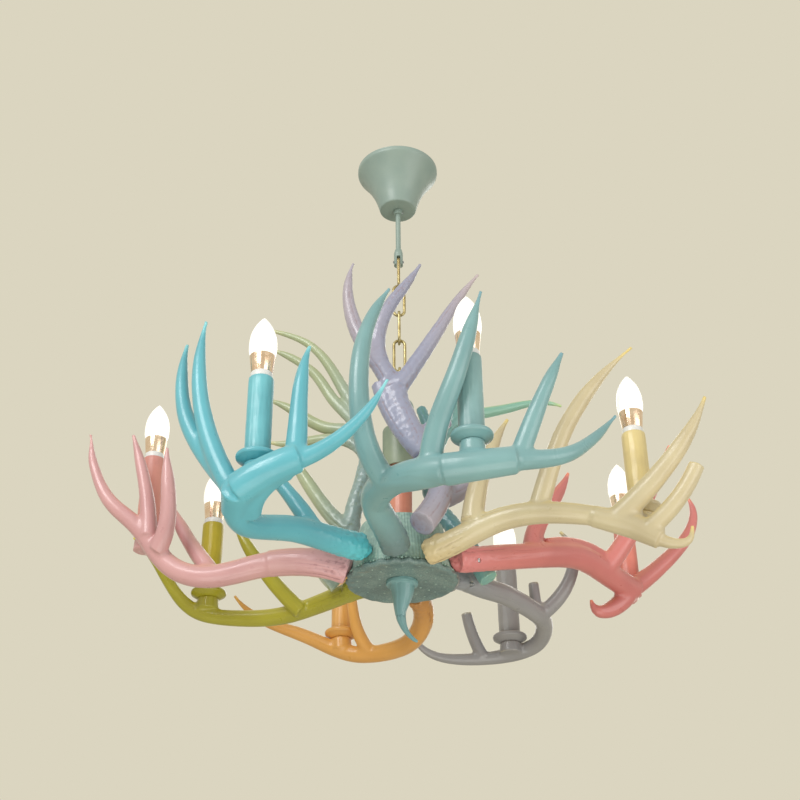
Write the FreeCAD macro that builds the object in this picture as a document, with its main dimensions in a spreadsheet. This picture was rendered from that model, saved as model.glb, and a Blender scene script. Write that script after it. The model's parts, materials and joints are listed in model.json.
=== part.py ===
import FreeCAD, Part
import math
import os

import Sketcher
from FreeCAD import Placement, Rotation, Vector

# An antler chandelier that hangs from a ceiling. Millimetres. The origin is the
# middle of the ceiling bracket's screw pattern, on the ceiling, with +Z up, so
# the whole lamp hangs below z = 0. X runs to the right and Y away from the viewer.

SHEET_NAME = "Sizes"

DRIVING_SIZES = [
    # ceiling fixing
    ("bracket_length", 96.0, "hat-shaped steel strap, end to end"),
    ("bracket_width", 20.0, "strap width"),
    ("bracket_thickness", 2.0, "strap thickness"),
    ("bracket_drop", 16.0, "depth of the strap's web below the ceiling"),
    ("bracket_web", 40.0, "length of the web"),
    ("ceiling_screw_spacing", 76.0, "distance between the two ceiling screws"),
    ("ceiling_screw_hole", 2.6, "radius of a ceiling screw hole"),
    ("block_length", 26.0, "terminal block along the strap's width"),
    ("block_width", 14.0, "terminal block along the strap"),
    ("block_height", 12.0, "terminal block height"),
    ("block_wire_hole", 2.0, "radius of a wire hole in the terminal block"),
    ("block_offset", 1.0, "terminal block outward of the web's end"),
    # canopy
    ("canopy_radius", 65.0, "rim of the bell at the ceiling"),
    ("canopy_height", 82.0, "height of the bell"),
    ("canopy_floor_radius", 29.0, "flat bottom of the bell"),
    ("canopy_wall", 1.2, "sheet thickness of the bell"),
    ("canopy_lip", 7.0, "straight band at the rim"),
    ("canopy_curve", 165.0, "radius of the bell's side"),
    ("collar_radius", 7.0, "collar under the canopy"),
    ("collar_height", 8.0, "height of the collar"),
    ("set_screw_radius", 1.5, "set screw of the collar"),
    ("set_screw_head", 1.0, "length of the set screw outside the collar"),
    # rod, fork and chain
    ("rod_radius", 4.0, "hanger rod and tie rod"),
    ("rod_top_gap", 4.0, "from the ceiling to the rod's top end"),
    ("rod_length", 168.0, "hanger rod, end to end"),
    ("nut_across", 8.0, "corner radius of a rod nut"),
    ("nut_height", 5.5, "height of a rod nut"),
    ("fork_radius", 7.0, "barrel of the fork"),
    ("fork_length", 30.0, "length of the fork"),
    ("fork_shoulder", 1.5, "fork's top edge outside the rod"),
    ("fork_socket", 11.0, "depth of the rod in the fork"),
    ("fork_pin_radius", 2.0, "pin across the fork"),
    ("fork_pin_rise", 7.0, "pin above the fork's lower end"),
    ("fork_pin_overhang", 1.5, "length of the pin outside each ear"),
    ("link_wire", 2.25, "wire radius of a chain link"),
    ("link_length", 60.0, "chain link, outside length"),
    ("link_width", 21.0, "chain link, outside width"),
    ("link_gap", 0.3, "free space where two links hang on each other"),
    ("link_side_gap", 0.5, "free space beside the link in the fork"),
    ("link_swing_gap", 1.6, "free space over the link in the fork, for its swing"),
    # loop, cap, pipe and tie rod
    ("loop_radius", 17.5, "ring of the top loop, to the wire's middle"),
    ("loop_wire", 2.5, "wire radius of the top loop"),
    ("loop_collar_radius", 8.5, "threaded foot of the top loop"),
    ("loop_collar_height", 14.0, "height of that foot"),
    ("cap_radius", 26.0, "cup over the top of the pipe"),
    ("cap_height", 65.0, "height of the cup"),
    ("cap_wall", 2.0, "wall of the cup"),
    ("cap_edge", 3.0, "rounding of the cup's top edge"),
    ("pipe_radius", 16.0, "column pipe"),
    ("pipe_wall", 1.5, "wall of the column pipe"),
    ("pipe_length", 155.0, "column pipe, end to end"),
    ("tie_rod_gap", 1.0, "free space over the tie rod in the loop's foot"),
    # hub
    ("hub_radius", 73.0, "foot of the hub"),
    ("hub_top_radius", 58.0, "top of the hub"),
    ("hub_height", 75.0, "height of the hub"),
    ("dish_radius", 78.0, "scalloped dish under the hub"),
    ("dish_thickness", 3.0, "sheet of the dish"),
    ("dish_rim", 4.0, "roll at the dish's edge, below its sheet"),
    ("finial_radius", 22.0, "collar of the finial"),
    ("finial_collar_height", 5.0, "height of that collar"),
    ("finial_drop", 85.0, "length of the finial"),
    ("finial_sweep", 20.0, "sideways reach of the finial's tip"),
    ("finial_socket", 16.0, "depth of the tie rod in the finial"),
    ("stud_radius", 4.0, "stud that holds an antler"),
    ("stud_in_hub", 26.0, "depth of a stud in the hub"),
    ("boss_radius", 11.0, "pad of an antler against the hub"),
    ("boss_start", 4.0, "pad's start inside the hub's side, before it is trimmed"),
    ("boss_end", 10.0, "end of the pad short of the stud's end"),
    ("tine_tip_radius", 2.5, "round tip of a tine"),
    ("neck_spread", 1.5, "foot of a candle neck outside its top"),
    ("keep_out", 40.0, "depth below the dish that antlers stay out of"),
    ("seat_gap", 0.3, "space between an antler and the hub or dish"),
    ("stud_clearance", 0.05, "radial play of a stud, nipple or rod in its bore"),
    ("slip_clearance", 0.3, "radial play of a clear hole"),
    ("end_clearance", 0.5, "free space beyond a stud's or nipple's end"),
    ("drill_overrun", 10.0, "length of a drill outside the part that it bores"),
    # candles
    ("seat_radius", 15.5, "top of the neck under a candle pan"),
    ("pan_radius", 26.5, "candle pan"),
    ("pan_height", 12.0, "height of the candle pan"),
    ("pan_floor", 3.0, "floor of the candle pan"),
    ("pan_wall", 4.0, "rolled wall of the candle pan"),
    ("pan_foot", 16.0, "flat foot of the candle pan"),
    ("pan_flare", 5.0, "height of the flare between foot and rolled wall"),
    ("pan_bulge", 2.0, "bulge of the rolled wall"),
    ("pan_roll", 4.1, "radius of the rolled wall's bulge"),
    ("pan_flat", 2.0, "flat floor of the pan round the sleeve"),
    ("sleeve_radius", 16.5, "candle sleeve"),
    ("sleeve_wall", 1.6, "wall of the candle sleeve"),
    ("sleeve_length", 116.0, "length of the candle sleeve"),
    ("holder_radius", 13.5, "body of the lampholder"),
    ("holder_length", 42.0, "length of the lampholder"),
    ("socket_radius", 7.0, "screw socket of the lampholder"),
    ("socket_depth", 26.0, "depth of the screw socket"),
    ("nipple_radius", 5.0, "threaded tube under the lampholder"),
    ("nipple_bore", 3.2, "wire way through that tube"),
    ("nipple_in_seat", 12.0, "depth of that tube in the antler"),
    ("nipple_end_gap", 1.0, "free space at either end of that tube"),
    ("bulb_collar_radius", 14.0, "white collar on top of the sleeve"),
    ("bulb_collar_height", 9.0, "height of that collar"),
    ("bulb_trim_radius", 16.5, "upper edge of the metal trim"),
    ("bulb_trim_height", 25.0, "height of the metal trim"),
    ("bulb_radius", 18.5, "widest part of the glass"),
    ("bulb_glass_height", 60.0, "height of the glass above the trim"),
    ("bulb_belly", 13.0, "height of the widest part above the trim"),
    ("bulb_curve", 78.0, "radius of the glass's side"),
    ("bulb_tip_radius", 3.0, "flat tip of the glass"),
    ("bulb_end_gap", 1.0, "free space under the lamp's screw cap"),
    ("holder_sink", 1.0, "top of the lampholder below the sleeve's top"),
    ("holder_web", 3.0, "solid part of the lampholder between socket and thread"),
]

# How late a tine closes to its tip: the power of its share of the length.
TIP_POWER = 6

# The finial's horn from root to tip, as shares of its sweep, its drop and its collar's radius.
HORN_SHAPE = [(0.0, 0.05, 0.8), (0.0, 0.25, 0.62), (-0.12, 0.5, 0.36), (0.15, 0.78, 0.2),
              (1.0, 1.0, 0.08)]

# Each antler is drawn in its own frame, whose origin is where its stud leaves the
# hub: out from the hub, side (anticlockwise seen from above) and up. A branch is its
# radius at the root, its radius at the end, and the places that it runs through.
# "limbs" end blunt, inside another branch or at a cut, and "tines" close to a round
# tip. "seat" is where the antler carries a candle: the middle of its pan's underside,
# and the depth of the neck below it.
ANTLERS = {
    "turquoise": {
        "azimuth": 228, "height": 24, "reach": 40, "seat": (236, 41, 27, 36),
        "tines": [
            (19, 10, [(12, 0, 2), (60, -8, 0), (120, -15, -3), (185, -12, -22), (233, 5, -28),
                      (256, 34, -12), (238, 76, 8), (205, 120, 30), (180, 155, 65),
                      (160, 186, 120)]),
            (14, 8.5, [(247, 18, -10), (262, -3, 40), (272, -22, 100), (276, -34, 170),
                       (272, -33, 250)]),
            (14, 8.5, [(250, 20, -5), (260, -30, 58), (272, -58, 115), (275, -70, 175),
                       (270, -72, 232)]),
            (14, 7.5, [(224, 95, 20), (220, 94, 70), (220, 97, 125), (210, 100, 182)]),
            (13, 9, [(85, -5, -5), (105, -30, 45), (120, -50, 78), (134, -70, 106)]),
        ],
        "limbs": [
            (16, 21, [(237, 6, -26), (256, 34, -12)]),
            (21, 15, [(256, 34, -12), (243, 70, 5), (222, 98, 20)]),
            (14, 15, [(220, 15, -24), (236, 50, -8), (226, 84, 10)]),
        ],
    },
    "teal": {
        "azimuth": 266, "height": 20, "reach": 45, "seat": (203, 105, 44, 36),
        "tines": [
            (20, 10, [(12, -2, -4), (48, -12, 12), (90, -22, 24), (138, -8, 25), (186, 40, 9),
                      (210, 100, 8), (211, 160, 13), (195, 212, 25), (176, 246, 52),
                      (155, 284, 98)]),
            (15.5, 10, [(150, 0, 20), (170, -26, 68), (186, -33, 120), (190, -30, 190),
                        (180, -16, 252), (175, 5, 294)]),
            (15, 9.5, [(192, 54, 20), (214, 68, 75), (231, 88, 120), (236, 102, 162),
                       (235, 124, 240)]),
            (13, 7.5, [(210, 160, 20), (217, 184, 78), (220, 202, 118), (220, 219, 153)]),
        ],
        "limbs": [
            (17, 20, [(90, -22, 24), (150, 2, 21), (205, 72, 8)]),
            (20, 14, [(205, 72, 8), (212, 115, 9), (212, 155, 13)]),
        ],
    },
    "lilac": {
        "azimuth": 300, "height": 62, "reach": 36,
        "tines": [
            (15.5, 8, [(2, -40, 184), (-8, -62, 236), (-14, -88, 273), (-23, -101, 316),
                       (-26, -107, 362), (-20, -101, 411)]),
            (13.5, 7.5, [(-7, -63, 240), (-5, -68, 288), (4, -57, 328), (16, -38, 364),
                         (30, -15, 408)]),
            (13, 6.5, [(5, -39, 202), (18, -15, 246), (31, 8, 291), (43, 31, 337),
                       (61, 67, 398)]),
        ],
        "limbs": [
            (18, 15.5, [(35, -25, -20), (30, 0, 15), (24, 14, 52), (14, -8, 98)]),
            (15.5, 17, [(14, -8, 98), (6, -28, 148), (-4, -46, 200)]),
            (13, 14, [(12, -16, 105), (-2, -42, 150), (-12, -60, 208)]),
            (12, 8, [(10, -15, 115), (15, 10, 145), (10, 35, 161)]),
            (14, 8, [(25, 5, 25), (26, 42, 46), (30, 71, 76)]),
        ],
    },
    "cream": {
        "azimuth": 300, "height": 22, "reach": 42, "seat": (179, 221, 26, 20),
        "tines": [
            (17.5, 11, [(12, -6, -10), (50, 20, 0), (85, 50, 16), (125, 85, 20), (165, 130, 12),
                        (206, 180, -10), (232, 206, -36), (247, 222, -40), (254, 233, -17)]),
            (16, 8, [(65, 30, 20), (69, 40, 76), (75, 55, 122), (86, 81, 177)]),
            (14, 9, [(125, 90, 20), (140, 100, 68), (155, 115, 122), (172, 139, 174),
                     (220, 200, 256)]),
            (15.5, 9, [(196, 166, 4), (229, 193, 40), (264, 223, 90), (291, 251, 156)]),
            (12.5, 8, [(220, 190, -18), (245, 215, 12), (270, 239, 62)]),
        ],
        "limbs": [
            (14, 16.5, [(175, 142, 8), (206, 180, -10)]),
            (16.5, 13, [(206, 180, -10), (228, 202, -32)]),
            (13, 12, [(206, 178, -2), (192, 203, 8), (178, 221, 10)]),
        ],
    },
    "coral": {
        "azimuth": 344, "height": 18, "reach": 40, "seat": (208, 300, 55, 16),
        "tines": [
            (14.5, 9, [(100, 68, 34), (113, 82, 86), (138, 98, 131), (154, 107, 166)]),
            (15.5, 9, [(187, 180, 42), (232, 196, 108), (272, 206, 186), (299, 212, 242)]),
            (15, 7.5, [(212, 252, 32), (240, 272, 58), (274, 290, 92), (302, 304, 127),
                       (317, 310, 166), (311, 310, 198)]),
            (16, 9, [(210, 246, 28), (184, 230, -3), (165, 216, -8), (158, 210, 7)]),
        ],
        "limbs": [
            (17.5, 18, [(10, -4, 2), (65, 35, 15), (115, 80, 30), (155, 130, 42), (186, 190, 38),
                        (216, 255, 34)]),
            (12, 14, [(118, 84, 44), (150, 126, 58), (186, 186, 54)]),
            (12.5, 12, [(213, 252, 27), (210, 276, 36), (207, 302, 39)]),
        ],
    },
    "rose": {
        "azimuth": 190, "height": 16, "reach": 42, "seat": (280, -100, 76, 26),
        "tines": [
            (19, 10.5, [(4, 0, -4), (62, -10, 8), (122, -30, 8), (186, -45, -5), (232, -55, 5),
                        (262, -60, 32), (293, -61, 70), (328, -62, 100), (358, -66, 152),
                        (372, -65, 211)]),
            (12.5, 7, [(276, -55, 52), (283, -55, 112), (297, -55, 166), (311, -55, 210)]),
            (13, 9, [(261, -50, 31), (251, -30, 72), (255, -20, 122), (260, -15, 172)]),
            (12.5, 9, [(183, -51, 0), (210, -72, 43), (233, -93, 88), (250, -106, 130)]),
        ],
        "limbs": [
            (20, 16, [(34, -5, 7), (66, -12, 10), (108, -25, 10)]),
            (10.5, 7, [(263, -58, 36), (286, -65, 60)]),
            (12.5, 12, [(262, -60, 33), (270, -80, 50), (281, -101, 57)]),
        ],
    },
    "lime": {
        "azimuth": 140, "height": 16, "reach": 42, "seat": (245, 70, 21, 18),
        "tines": [
            (14.5, 9.5, [(5, -5, -3), (85, 0, -8), (145, 15, -15), (210, 45, -11), (265, 85, 7),
                      (289, 115, 50), (304, 139, 87), (320, 160, 112)]),
            (12, 9, [(105, 15, -18), (131, 46, 22), (155, 80, 76), (171, 96, 116)]),
        ],
        "limbs": [],
    },
    "pewter": {
        "azimuth": 27, "height": 16, "reach": 42, "seat": (185, 140, -20, 17),
        "tines": [
            (16, 9.5, [(5, 0, -2), (100, 15, 0), (165, 35, -10), (206, 76, -14), (216, 115, -25),
                       (186, 156, -35), (132, 184, -40), (80, 200, -34), (45, 200, 2)]),
            (10, 6.5, [(155, 172, -37), (140, 175, -4), (130, 175, 31)]),
            (12, 8, [(175, 40, -10), (206, 15, 26), (214, -2, 74), (195, 0, 110)]),
            (9, 6, [(172, 40, -10), (168, 37, 10), (165, 35, 36)]),
        ],
        "limbs": [],
    },
    "amber": {
        "azimuth": 78, "height": 16, "reach": 42, "seat": (160, 145, -5, 20),
        "tines": [
            (15.5, 10, [(5, 0, -5), (55, -5, -18), (105, 20, -34), (146, 66, -36),
                        (160, 130, -30), (150, 200, 0), (131, 264, 25), (110, 305, 61)]),
            (11, 7.5, [(155, 95, -35), (140, 115, 0), (125, 120, 42), (115, 120, 71)]),
        ],
        "limbs": [],
    },
    "sage": {
        "azimuth": 140, "height": 50, "reach": 42,
        "tines": [
            (14.5, 8.5, [(50, 33, -33), (36, 16, -5), (34, 0, 28), (35, -6, 76), (28, -15, 125),
                         (26, -28, 178), (32, -35, 220), (44, -30, 262), (66, -20, 310),
                         (96, -8, 372), (124, 7, 411), (155, 26, 433), (181, 45, 444)]),
            (10.5, 7.5, [(30, -30, 205), (54, -24, 257), (80, -8, 296), (106, 6, 345),
                         (136, 21, 378), (175, 50, 404)]),
            (11, 8, [(30, -30, 200), (56, -19, 236), (86, -4, 245), (116, 16, 266),
                     (180, 55, 310)]),
            (10, 7.5, [(26, -25, 180), (56, -9, 215), (82, 6, 220), (116, 30, 216),
                       (155, 60, 221)]),
            (12.5, 9.5, [(35, 0, 55), (65, 16, 92), (91, 35, 142), (120, 55, 195)]),
        ],
        "limbs": [],
    },
    "mint": {
        "azimuth": 24, "height": 60, "reach": 40,
        "tines": [
            (14, 9, [(58, -27, -48), (48, -20, -26), (30, -5, 20), (10, 16, 62), (0, 36, 115),
                     (15, 46, 175), (42, 46, 226), (82, 38, 252), (132, 30, 270), (180, 15, 284),
                     (220, 5, 281)]),
            (11, 7, [(20, 50, 195), (7, 58, 236), (3, 65, 260)]),
            (12, 8, [(50, 45, 235), (61, 45, 282), (70, 45, 320)]),
        ],
        "limbs": [],
    },
}


class Size:
    """A length together with the sheet expression that it is bound by."""

    def __init__(self, value, text):
        self.value = float(value)
        self.text = text

    def _with(self, other, sign, value):
        return Size(value, "(" + self.text + " " + sign + " " + as_size(other).text + ")")

    def __add__(self, other):
        return self._with(other, "+", self.value + as_size(other).value)

    def __sub__(self, other):
        return self._with(other, "-", self.value - as_size(other).value)

    def __mul__(self, other):
        return self._with(other, "*", self.value * as_size(other).value)

    def __truediv__(self, other):
        return self._with(other, "/", self.value / as_size(other).value)

    def __neg__(self):
        return Size(-self.value, "(0 - " + self.text + ")")


def as_size(number):
    """Return a Size as it is, and a plain number as a fixed Size."""
    if isinstance(number, Size):
        return number
    return Size(number, "(" + repr(float(number)) + ")")


doc = FreeCAD.newDocument("AntlerChandelier")
sheet = doc.addObject("Spreadsheet::Sheet", SHEET_NAME)
size = {}
for row, (alias, number, note) in enumerate(DRIVING_SIZES, start=1):
    sheet.set("A" + str(row), alias)
    sheet.set("B" + str(row), repr(number))
    sheet.set("C" + str(row), note)
    sheet.setAlias("B" + str(row), alias)
    size[alias] = Size(number, SHEET_NAME + "." + alias)
doc.recompute()

nodes = []


def keep(item, label):
    """Give a finished sub-part its label and list it for the export."""
    item.Label = label
    nodes.append(item)
    return item


def bind(item, settings):
    """Bind the object's properties to sizes."""
    for name, value in settings.items():
        item.setExpression(name, as_size(value).text)


def move(item, x=0.0, y=0.0, z=0.0, turn=None):
    """Place an object, bound to sizes, with an optional rotation."""
    placed = Vector(as_size(x).value, as_size(y).value, as_size(z).value)
    item.Placement = Placement(placed, turn or Rotation())
    for axis, value in (("x", x), ("y", y), ("z", z)):
        if isinstance(value, Size):
            item.setExpression(".Placement.Base." + axis, value.text)
    return item


ALONG_X = Rotation(Vector(0, 1, 0), 90)
ALONG_Y = Rotation(Vector(1, 0, 0), -90)


def cylinder(name, radius, height, x=0.0, y=0.0, z=0.0, turn=None):
    item = doc.addObject("Part::Cylinder", name)
    bind(item, {"Radius": radius, "Height": height})
    return move(item, x, y, z, turn)


def box(name, length, width, height, x=0.0, y=0.0, z=0.0):
    item = doc.addObject("Part::Box", name)
    bind(item, {"Length": length, "Width": width, "Height": height})
    return move(item, x, y, z)


def cut(name, base, tool):
    item = doc.addObject("Part::Cut", name)
    item.Base = base
    item.Tool = tool
    return item


def fuse(name, shapes):
    item = doc.addObject("Part::MultiFuse", name)
    item.Shapes = shapes
    item.Refine = True
    return item


def group(name, shapes):
    item = doc.addObject("Part::Compound", name)
    item.Links = shapes
    return item


def pin_corner(sketch, edge, end, x, y):
    """Hold one corner of a sketch at (x, y), each bound to its size."""
    for kind, value, axis in (("DistanceX", x, -2), ("DistanceY", y, -1)):
        value = as_size(value)
        if value.value == 0.0:
            sketch.addConstraint(Sketcher.Constraint("PointOnObject", edge, end, axis))
            continue
        index = sketch.addConstraint(
            Sketcher.Constraint(kind, -1, 1, edge, end, value.value))
        sketch.setExpression("Constraints[" + str(index) + "]", value.text)


def arc_edge(start, end, radius):
    """Return an arc from start to end. A positive radius bulges to the right of the way."""
    way = end.sub(start)
    middle = (start + end) * 0.5
    left = Vector(-way.y, way.x, 0).normalize()
    rise = math.sqrt(radius ** 2 - (way.Length / 2) ** 2)
    centre = middle + left * (rise if radius > 0 else -rise)
    first, last = (start, end) if radius > 0 else (end, start)
    angles = [math.atan2(point.y - centre.y, point.x - centre.x) for point in (first, last)]
    circle = Part.Circle(centre, Vector(0, 0, 1), abs(radius))
    return Part.ArcOfCircle(circle, angles[0], angles[1])


def outline(body, plane, name, corners):
    """Sketch a closed outline on one of the body's own planes.

    A corner is (x, y), or (x, y, radius) where an arc leaves it for the next one.
    """
    sketch = body.newObject("Sketcher::SketchObject", name)
    role = [item for item in body.Origin.OriginFeatures if item.Role == plane]
    sketch.AttachmentSupport = (role[0], [""])
    sketch.MapMode = "FlatFace"
    points = [Vector(as_size(corner[0]).value, as_size(corner[1]).value, 0) for corner in corners]
    starts = []
    ends = []
    for index, corner in enumerate(corners):
        start, end = points[index], points[(index + 1) % len(points)]
        turned = len(corner) == 3 and as_size(corner[2]).value < 0
        if len(corner) == 3:
            sketch.addGeometry(arc_edge(start, end, as_size(corner[2]).value))
        else:
            sketch.addGeometry(Part.LineSegment(start, end))
        starts.append(2 if turned else 1)
        ends.append(1 if turned else 2)
    for index, corner in enumerate(corners):
        after = (index + 1) % len(corners)
        sketch.addConstraint(
            Sketcher.Constraint("Coincident", index, ends[index], after, starts[after]))
        pin_corner(sketch, index, starts[index], corner[0], corner[1])
        if len(corner) == 3:
            radius = as_size(corner[2])
            bend = radius if radius.value > 0 else -radius
            number = sketch.addConstraint(Sketcher.Constraint("Radius", index, bend.value))
            sketch.setExpression("Constraints[" + str(number) + "]", bend.text)
    return sketch


def turned_body(label, corners):
    """A body of revolution about its own Z axis. Corners are (radius, height)."""
    body = doc.addObject("PartDesign::Body", label)
    sketch = outline(body, "XZ_Plane", label + "_outline", corners)
    turn = body.newObject("PartDesign::Revolution", label + "_turned")
    turn.Profile = sketch
    turn.ReferenceAxis = (sketch, ["V_Axis"])
    turn.Angle = 360.0
    sketch.Visibility = False
    return body


def pressed_body(label, corners, length):
    """A body pressed out both ways from its own XZ plane."""
    body = doc.addObject("PartDesign::Body", label)
    sketch = outline(body, "XZ_Plane", label + "_outline", corners)
    pad = body.newObject("PartDesign::Pad", label + "_pressed")
    pad.Profile = sketch
    bind(pad, {"Length": length})
    pad.Midplane = True
    return body


def round_pocket(body, name, radius, x):
    """Cut a round hole right through the body along its Z axis."""
    sketch = body.newObject("Sketcher::SketchObject", name)
    role = [item for item in body.Origin.OriginFeatures if item.Role == "XY_Plane"]
    sketch.AttachmentSupport = (role[0], [""])
    sketch.MapMode = "FlatFace"
    centre = Vector(as_size(x).value, 0, 0)
    sketch.addGeometry(Part.Circle(centre, Vector(0, 0, 1), radius.value))
    pin_corner(sketch, 0, 3, x, 0.0)
    number = sketch.addConstraint(Sketcher.Constraint("Radius", 0, radius.value))
    sketch.setExpression("Constraints[" + str(number) + "]", radius.text)
    pocket = body.newObject("PartDesign::Pocket", name + "_cut")
    pocket.Profile = sketch
    pocket.Type = "ThroughAll"
    pocket.Midplane = True


# Heights, from the ceiling down.
bracket_floor = -size["bracket_drop"]
rod_top = -size["rod_top_gap"]
rod_bottom = rod_top - size["rod_length"]
canopy_floor = -size["canopy_height"]
fork_top = rod_bottom + size["fork_socket"]
fork_bottom = fork_top - size["fork_length"]
pin_height = fork_bottom + size["fork_pin_rise"]
link_step = size["link_length"] - size["link_wire"] * 4 - size["link_gap"]
first_link = (pin_height + size["fork_pin_radius"] + size["link_gap"]
              + size["link_wire"] * 2 - size["link_length"] / 2)
LINK_COUNT = 5
link_heights = [first_link - link_step * number for number in range(LINK_COUNT)]
link_bottom = link_heights[-1] - size["link_length"] / 2 + size["link_wire"] * 2
ring_centre = (link_bottom + size["link_gap"] + size["loop_wire"] * 2
               - size["loop_radius"] - size["loop_wire"])
loop_foot = ring_centre - size["loop_radius"] - size["loop_collar_height"]
cap_top = loop_foot - size["nut_height"]
pipe_top = cap_top - size["cap_wall"]
hub_top = pipe_top - size["pipe_length"]
hub_foot = hub_top - size["hub_height"]
dish_plane = hub_foot - size["dish_thickness"]
tie_bottom = dish_plane - size["finial_socket"]


def ceiling_bracket():
    """A hat-shaped strap: two feet on the ceiling and a web below, which holds the rod."""
    foot_end = size["bracket_length"] / 2
    web_end = size["bracket_web"] / 2
    wall = size["bracket_thickness"]
    body = pressed_body("ceiling_bracket", [
        (-foot_end, 0), (-foot_end, -wall), (-web_end, -wall), (-web_end, bracket_floor),
        (web_end, bracket_floor), (web_end, -wall), (foot_end, -wall), (foot_end, 0),
        (web_end - wall, 0), (web_end - wall, bracket_floor + wall),
        (wall - web_end, bracket_floor + wall), (wall - web_end, 0)], size["bracket_width"])
    round_pocket(body, "left_screw_hole", size["ceiling_screw_hole"],
                 -(size["ceiling_screw_spacing"] / 2))
    round_pocket(body, "right_screw_hole", size["ceiling_screw_hole"],
                 size["ceiling_screw_spacing"] / 2)
    round_pocket(body, "rod_hole", size["rod_radius"] + size["slip_clearance"], 0.0)
    keep(body, "ceiling_bracket")


def hex_nut(name, height_at):
    """A hexagon nut on a rod of the common radius, with its foot at the given height."""
    body = doc.addObject("Part::Prism", name + "_hexagon")
    body.Polygon = 6
    bind(body, {"Circumradius": size["nut_across"], "Height": size["nut_height"]})
    bore = cylinder(name + "_bore", size["rod_radius"] + size["stud_clearance"],
                    size["nut_height"])
    return move(cut(name, body, bore), z=height_at)


def rod_nuts():
    upper = hex_nut("upper_nut", bracket_floor + size["bracket_thickness"])
    lower = hex_nut("lower_nut", bracket_floor - size["nut_height"])
    keep(group("rod_nuts", [upper, lower]), "rod_nuts")


def terminal_block():
    """An insulated block under the strap's right foot, where the mains wires join."""
    block_x = size["bracket_web"] / 2 + size["block_offset"]
    case = box("block_case", size["block_width"], size["block_length"], size["block_height"],
               block_x, -(size["block_length"] / 2),
               -size["bracket_thickness"] - size["block_height"])
    ways = []
    for number in range(3):
        way = cylinder("block_way_" + str(number + 1), size["block_wire_hole"],
                       size["block_width"], block_x,
                       size["block_length"] * ((number - 1) / 3.0),
                       -size["bracket_thickness"] - size["block_height"] / 2, ALONG_X)
        ways.append(way)
    keep(cut("terminal_block", case, fuse("block_ways", ways)), "terminal_block")


def canopy():
    """A bell of sheet metal: a straight band at the ceiling, a drawn-in side, a flat floor."""
    wall = size["canopy_wall"]
    rim = size["canopy_radius"]
    floor = size["canopy_floor_radius"]
    lip = -size["canopy_lip"]
    hole = size["rod_radius"] + size["slip_clearance"]
    body = turned_body("canopy", [
        (hole, canopy_floor), (floor, canopy_floor, -size["canopy_curve"]), (rim, lip), (rim, 0),
        (rim - wall, 0), (rim - wall, lip, size["canopy_curve"]),
        (floor - wall, canopy_floor + wall), (hole, canopy_floor + wall)])
    keep(body, "canopy")


def canopy_collar():
    """The collar that carries the canopy, and its set screw against the rod."""
    foot = canopy_floor - size["collar_height"]
    middle = foot + size["collar_height"] / 2
    ring = cylinder("collar_ring", size["collar_radius"], size["collar_height"], z=foot)
    bore = cylinder("collar_bore", size["rod_radius"] + size["stud_clearance"],
                    size["collar_height"], z=foot)
    way = cylinder("collar_screw_way", size["set_screw_radius"] + size["stud_clearance"],
                   size["collar_radius"], z=middle, turn=ALONG_X)
    keep(cut("canopy_collar", cut("collar_bored", ring, bore), way), "canopy_collar")
    start = size["rod_radius"] + size["stud_clearance"]
    screw = cylinder("collar_set_screw", size["set_screw_radius"],
                     size["collar_radius"] - start + size["set_screw_head"], x=start, z=middle, turn=ALONG_X)
    keep(screw, "collar_set_screw")


def hanger_rod():
    keep(cylinder("hanger_rod", size["rod_radius"], size["rod_length"], z=rod_bottom),
         "hanger_rod")


def rod_fork():
    """A forged fork on the rod's end: a tapered barrel with a slot for the first link."""
    taper = size["fork_radius"]
    cone = doc.addObject("Part::Cone", "fork_taper")
    bind(cone, {"Radius1": size["fork_radius"], "Height": taper,
                "Radius2": size["rod_radius"] + size["fork_shoulder"]})
    move(cone, z=fork_top - taper)
    barrel = cylinder("fork_barrel", size["fork_radius"], size["fork_length"] - taper,
                      z=fork_bottom)
    body = fuse("fork_body", [cone, barrel])
    socket = cylinder("fork_rod_socket", size["rod_radius"] + size["stud_clearance"],
                      size["fork_socket"], z=rod_bottom)
    slot_width = (size["link_wire"] + size["link_side_gap"]) * 2
    slot_rise = (size["fork_pin_rise"] + size["fork_pin_radius"] + size["link_wire"] * 2
                 + size["link_swing_gap"])
    slot = box("fork_slot", slot_width, size["fork_radius"] * 2, slot_rise,
               -(slot_width / 2), -size["fork_radius"], fork_bottom)
    way = cylinder("fork_pin_way", size["fork_pin_radius"] + size["stud_clearance"],
                   size["fork_radius"] * 2, -size["fork_radius"], 0.0, pin_height, ALONG_X)
    tool = fuse("fork_cuts", [socket, slot, way])
    keep(cut("rod_fork", body, tool), "rod_fork")
    reach = size["fork_radius"] + size["fork_pin_overhang"]
    keep(cylinder("fork_pin", size["fork_pin_radius"], reach * 2, -reach, 0.0, pin_height,
                  ALONG_X), "fork_pin")


def chain_link(number):
    """A welded oval link: two half rings and two straight sides. Every other one is turned."""
    label = "chain_link_" + str(number + 1)
    bend = size["link_width"] / 2 - size["link_wire"]
    half = size["link_length"] / 2 - size["link_width"] / 2
    pieces = []
    for name, height, upwards in (("_top", half, 0), ("_foot", -half, 180)):
        ring = doc.addObject("Part::Torus", label + name)
        ring.Angle3 = 180.0
        bind(ring, {"Radius1": bend, "Radius2": size["link_wire"]})
        turn = Rotation(Vector(1, 0, 0), 90 + upwards)
        pieces.append(move(ring, z=height, turn=turn))
    for name, x in (("_left", -bend), ("_right", bend)):
        pieces.append(cylinder(label + name, size["link_wire"], half * 2, x, 0.0, -half))
    link = fuse(label, pieces)
    quarter = Rotation(Vector(0, 0, 1), 90 if number % 2 == 0 else 0)
    keep(move(link, z=link_heights[number], turn=quarter), label)


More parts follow.
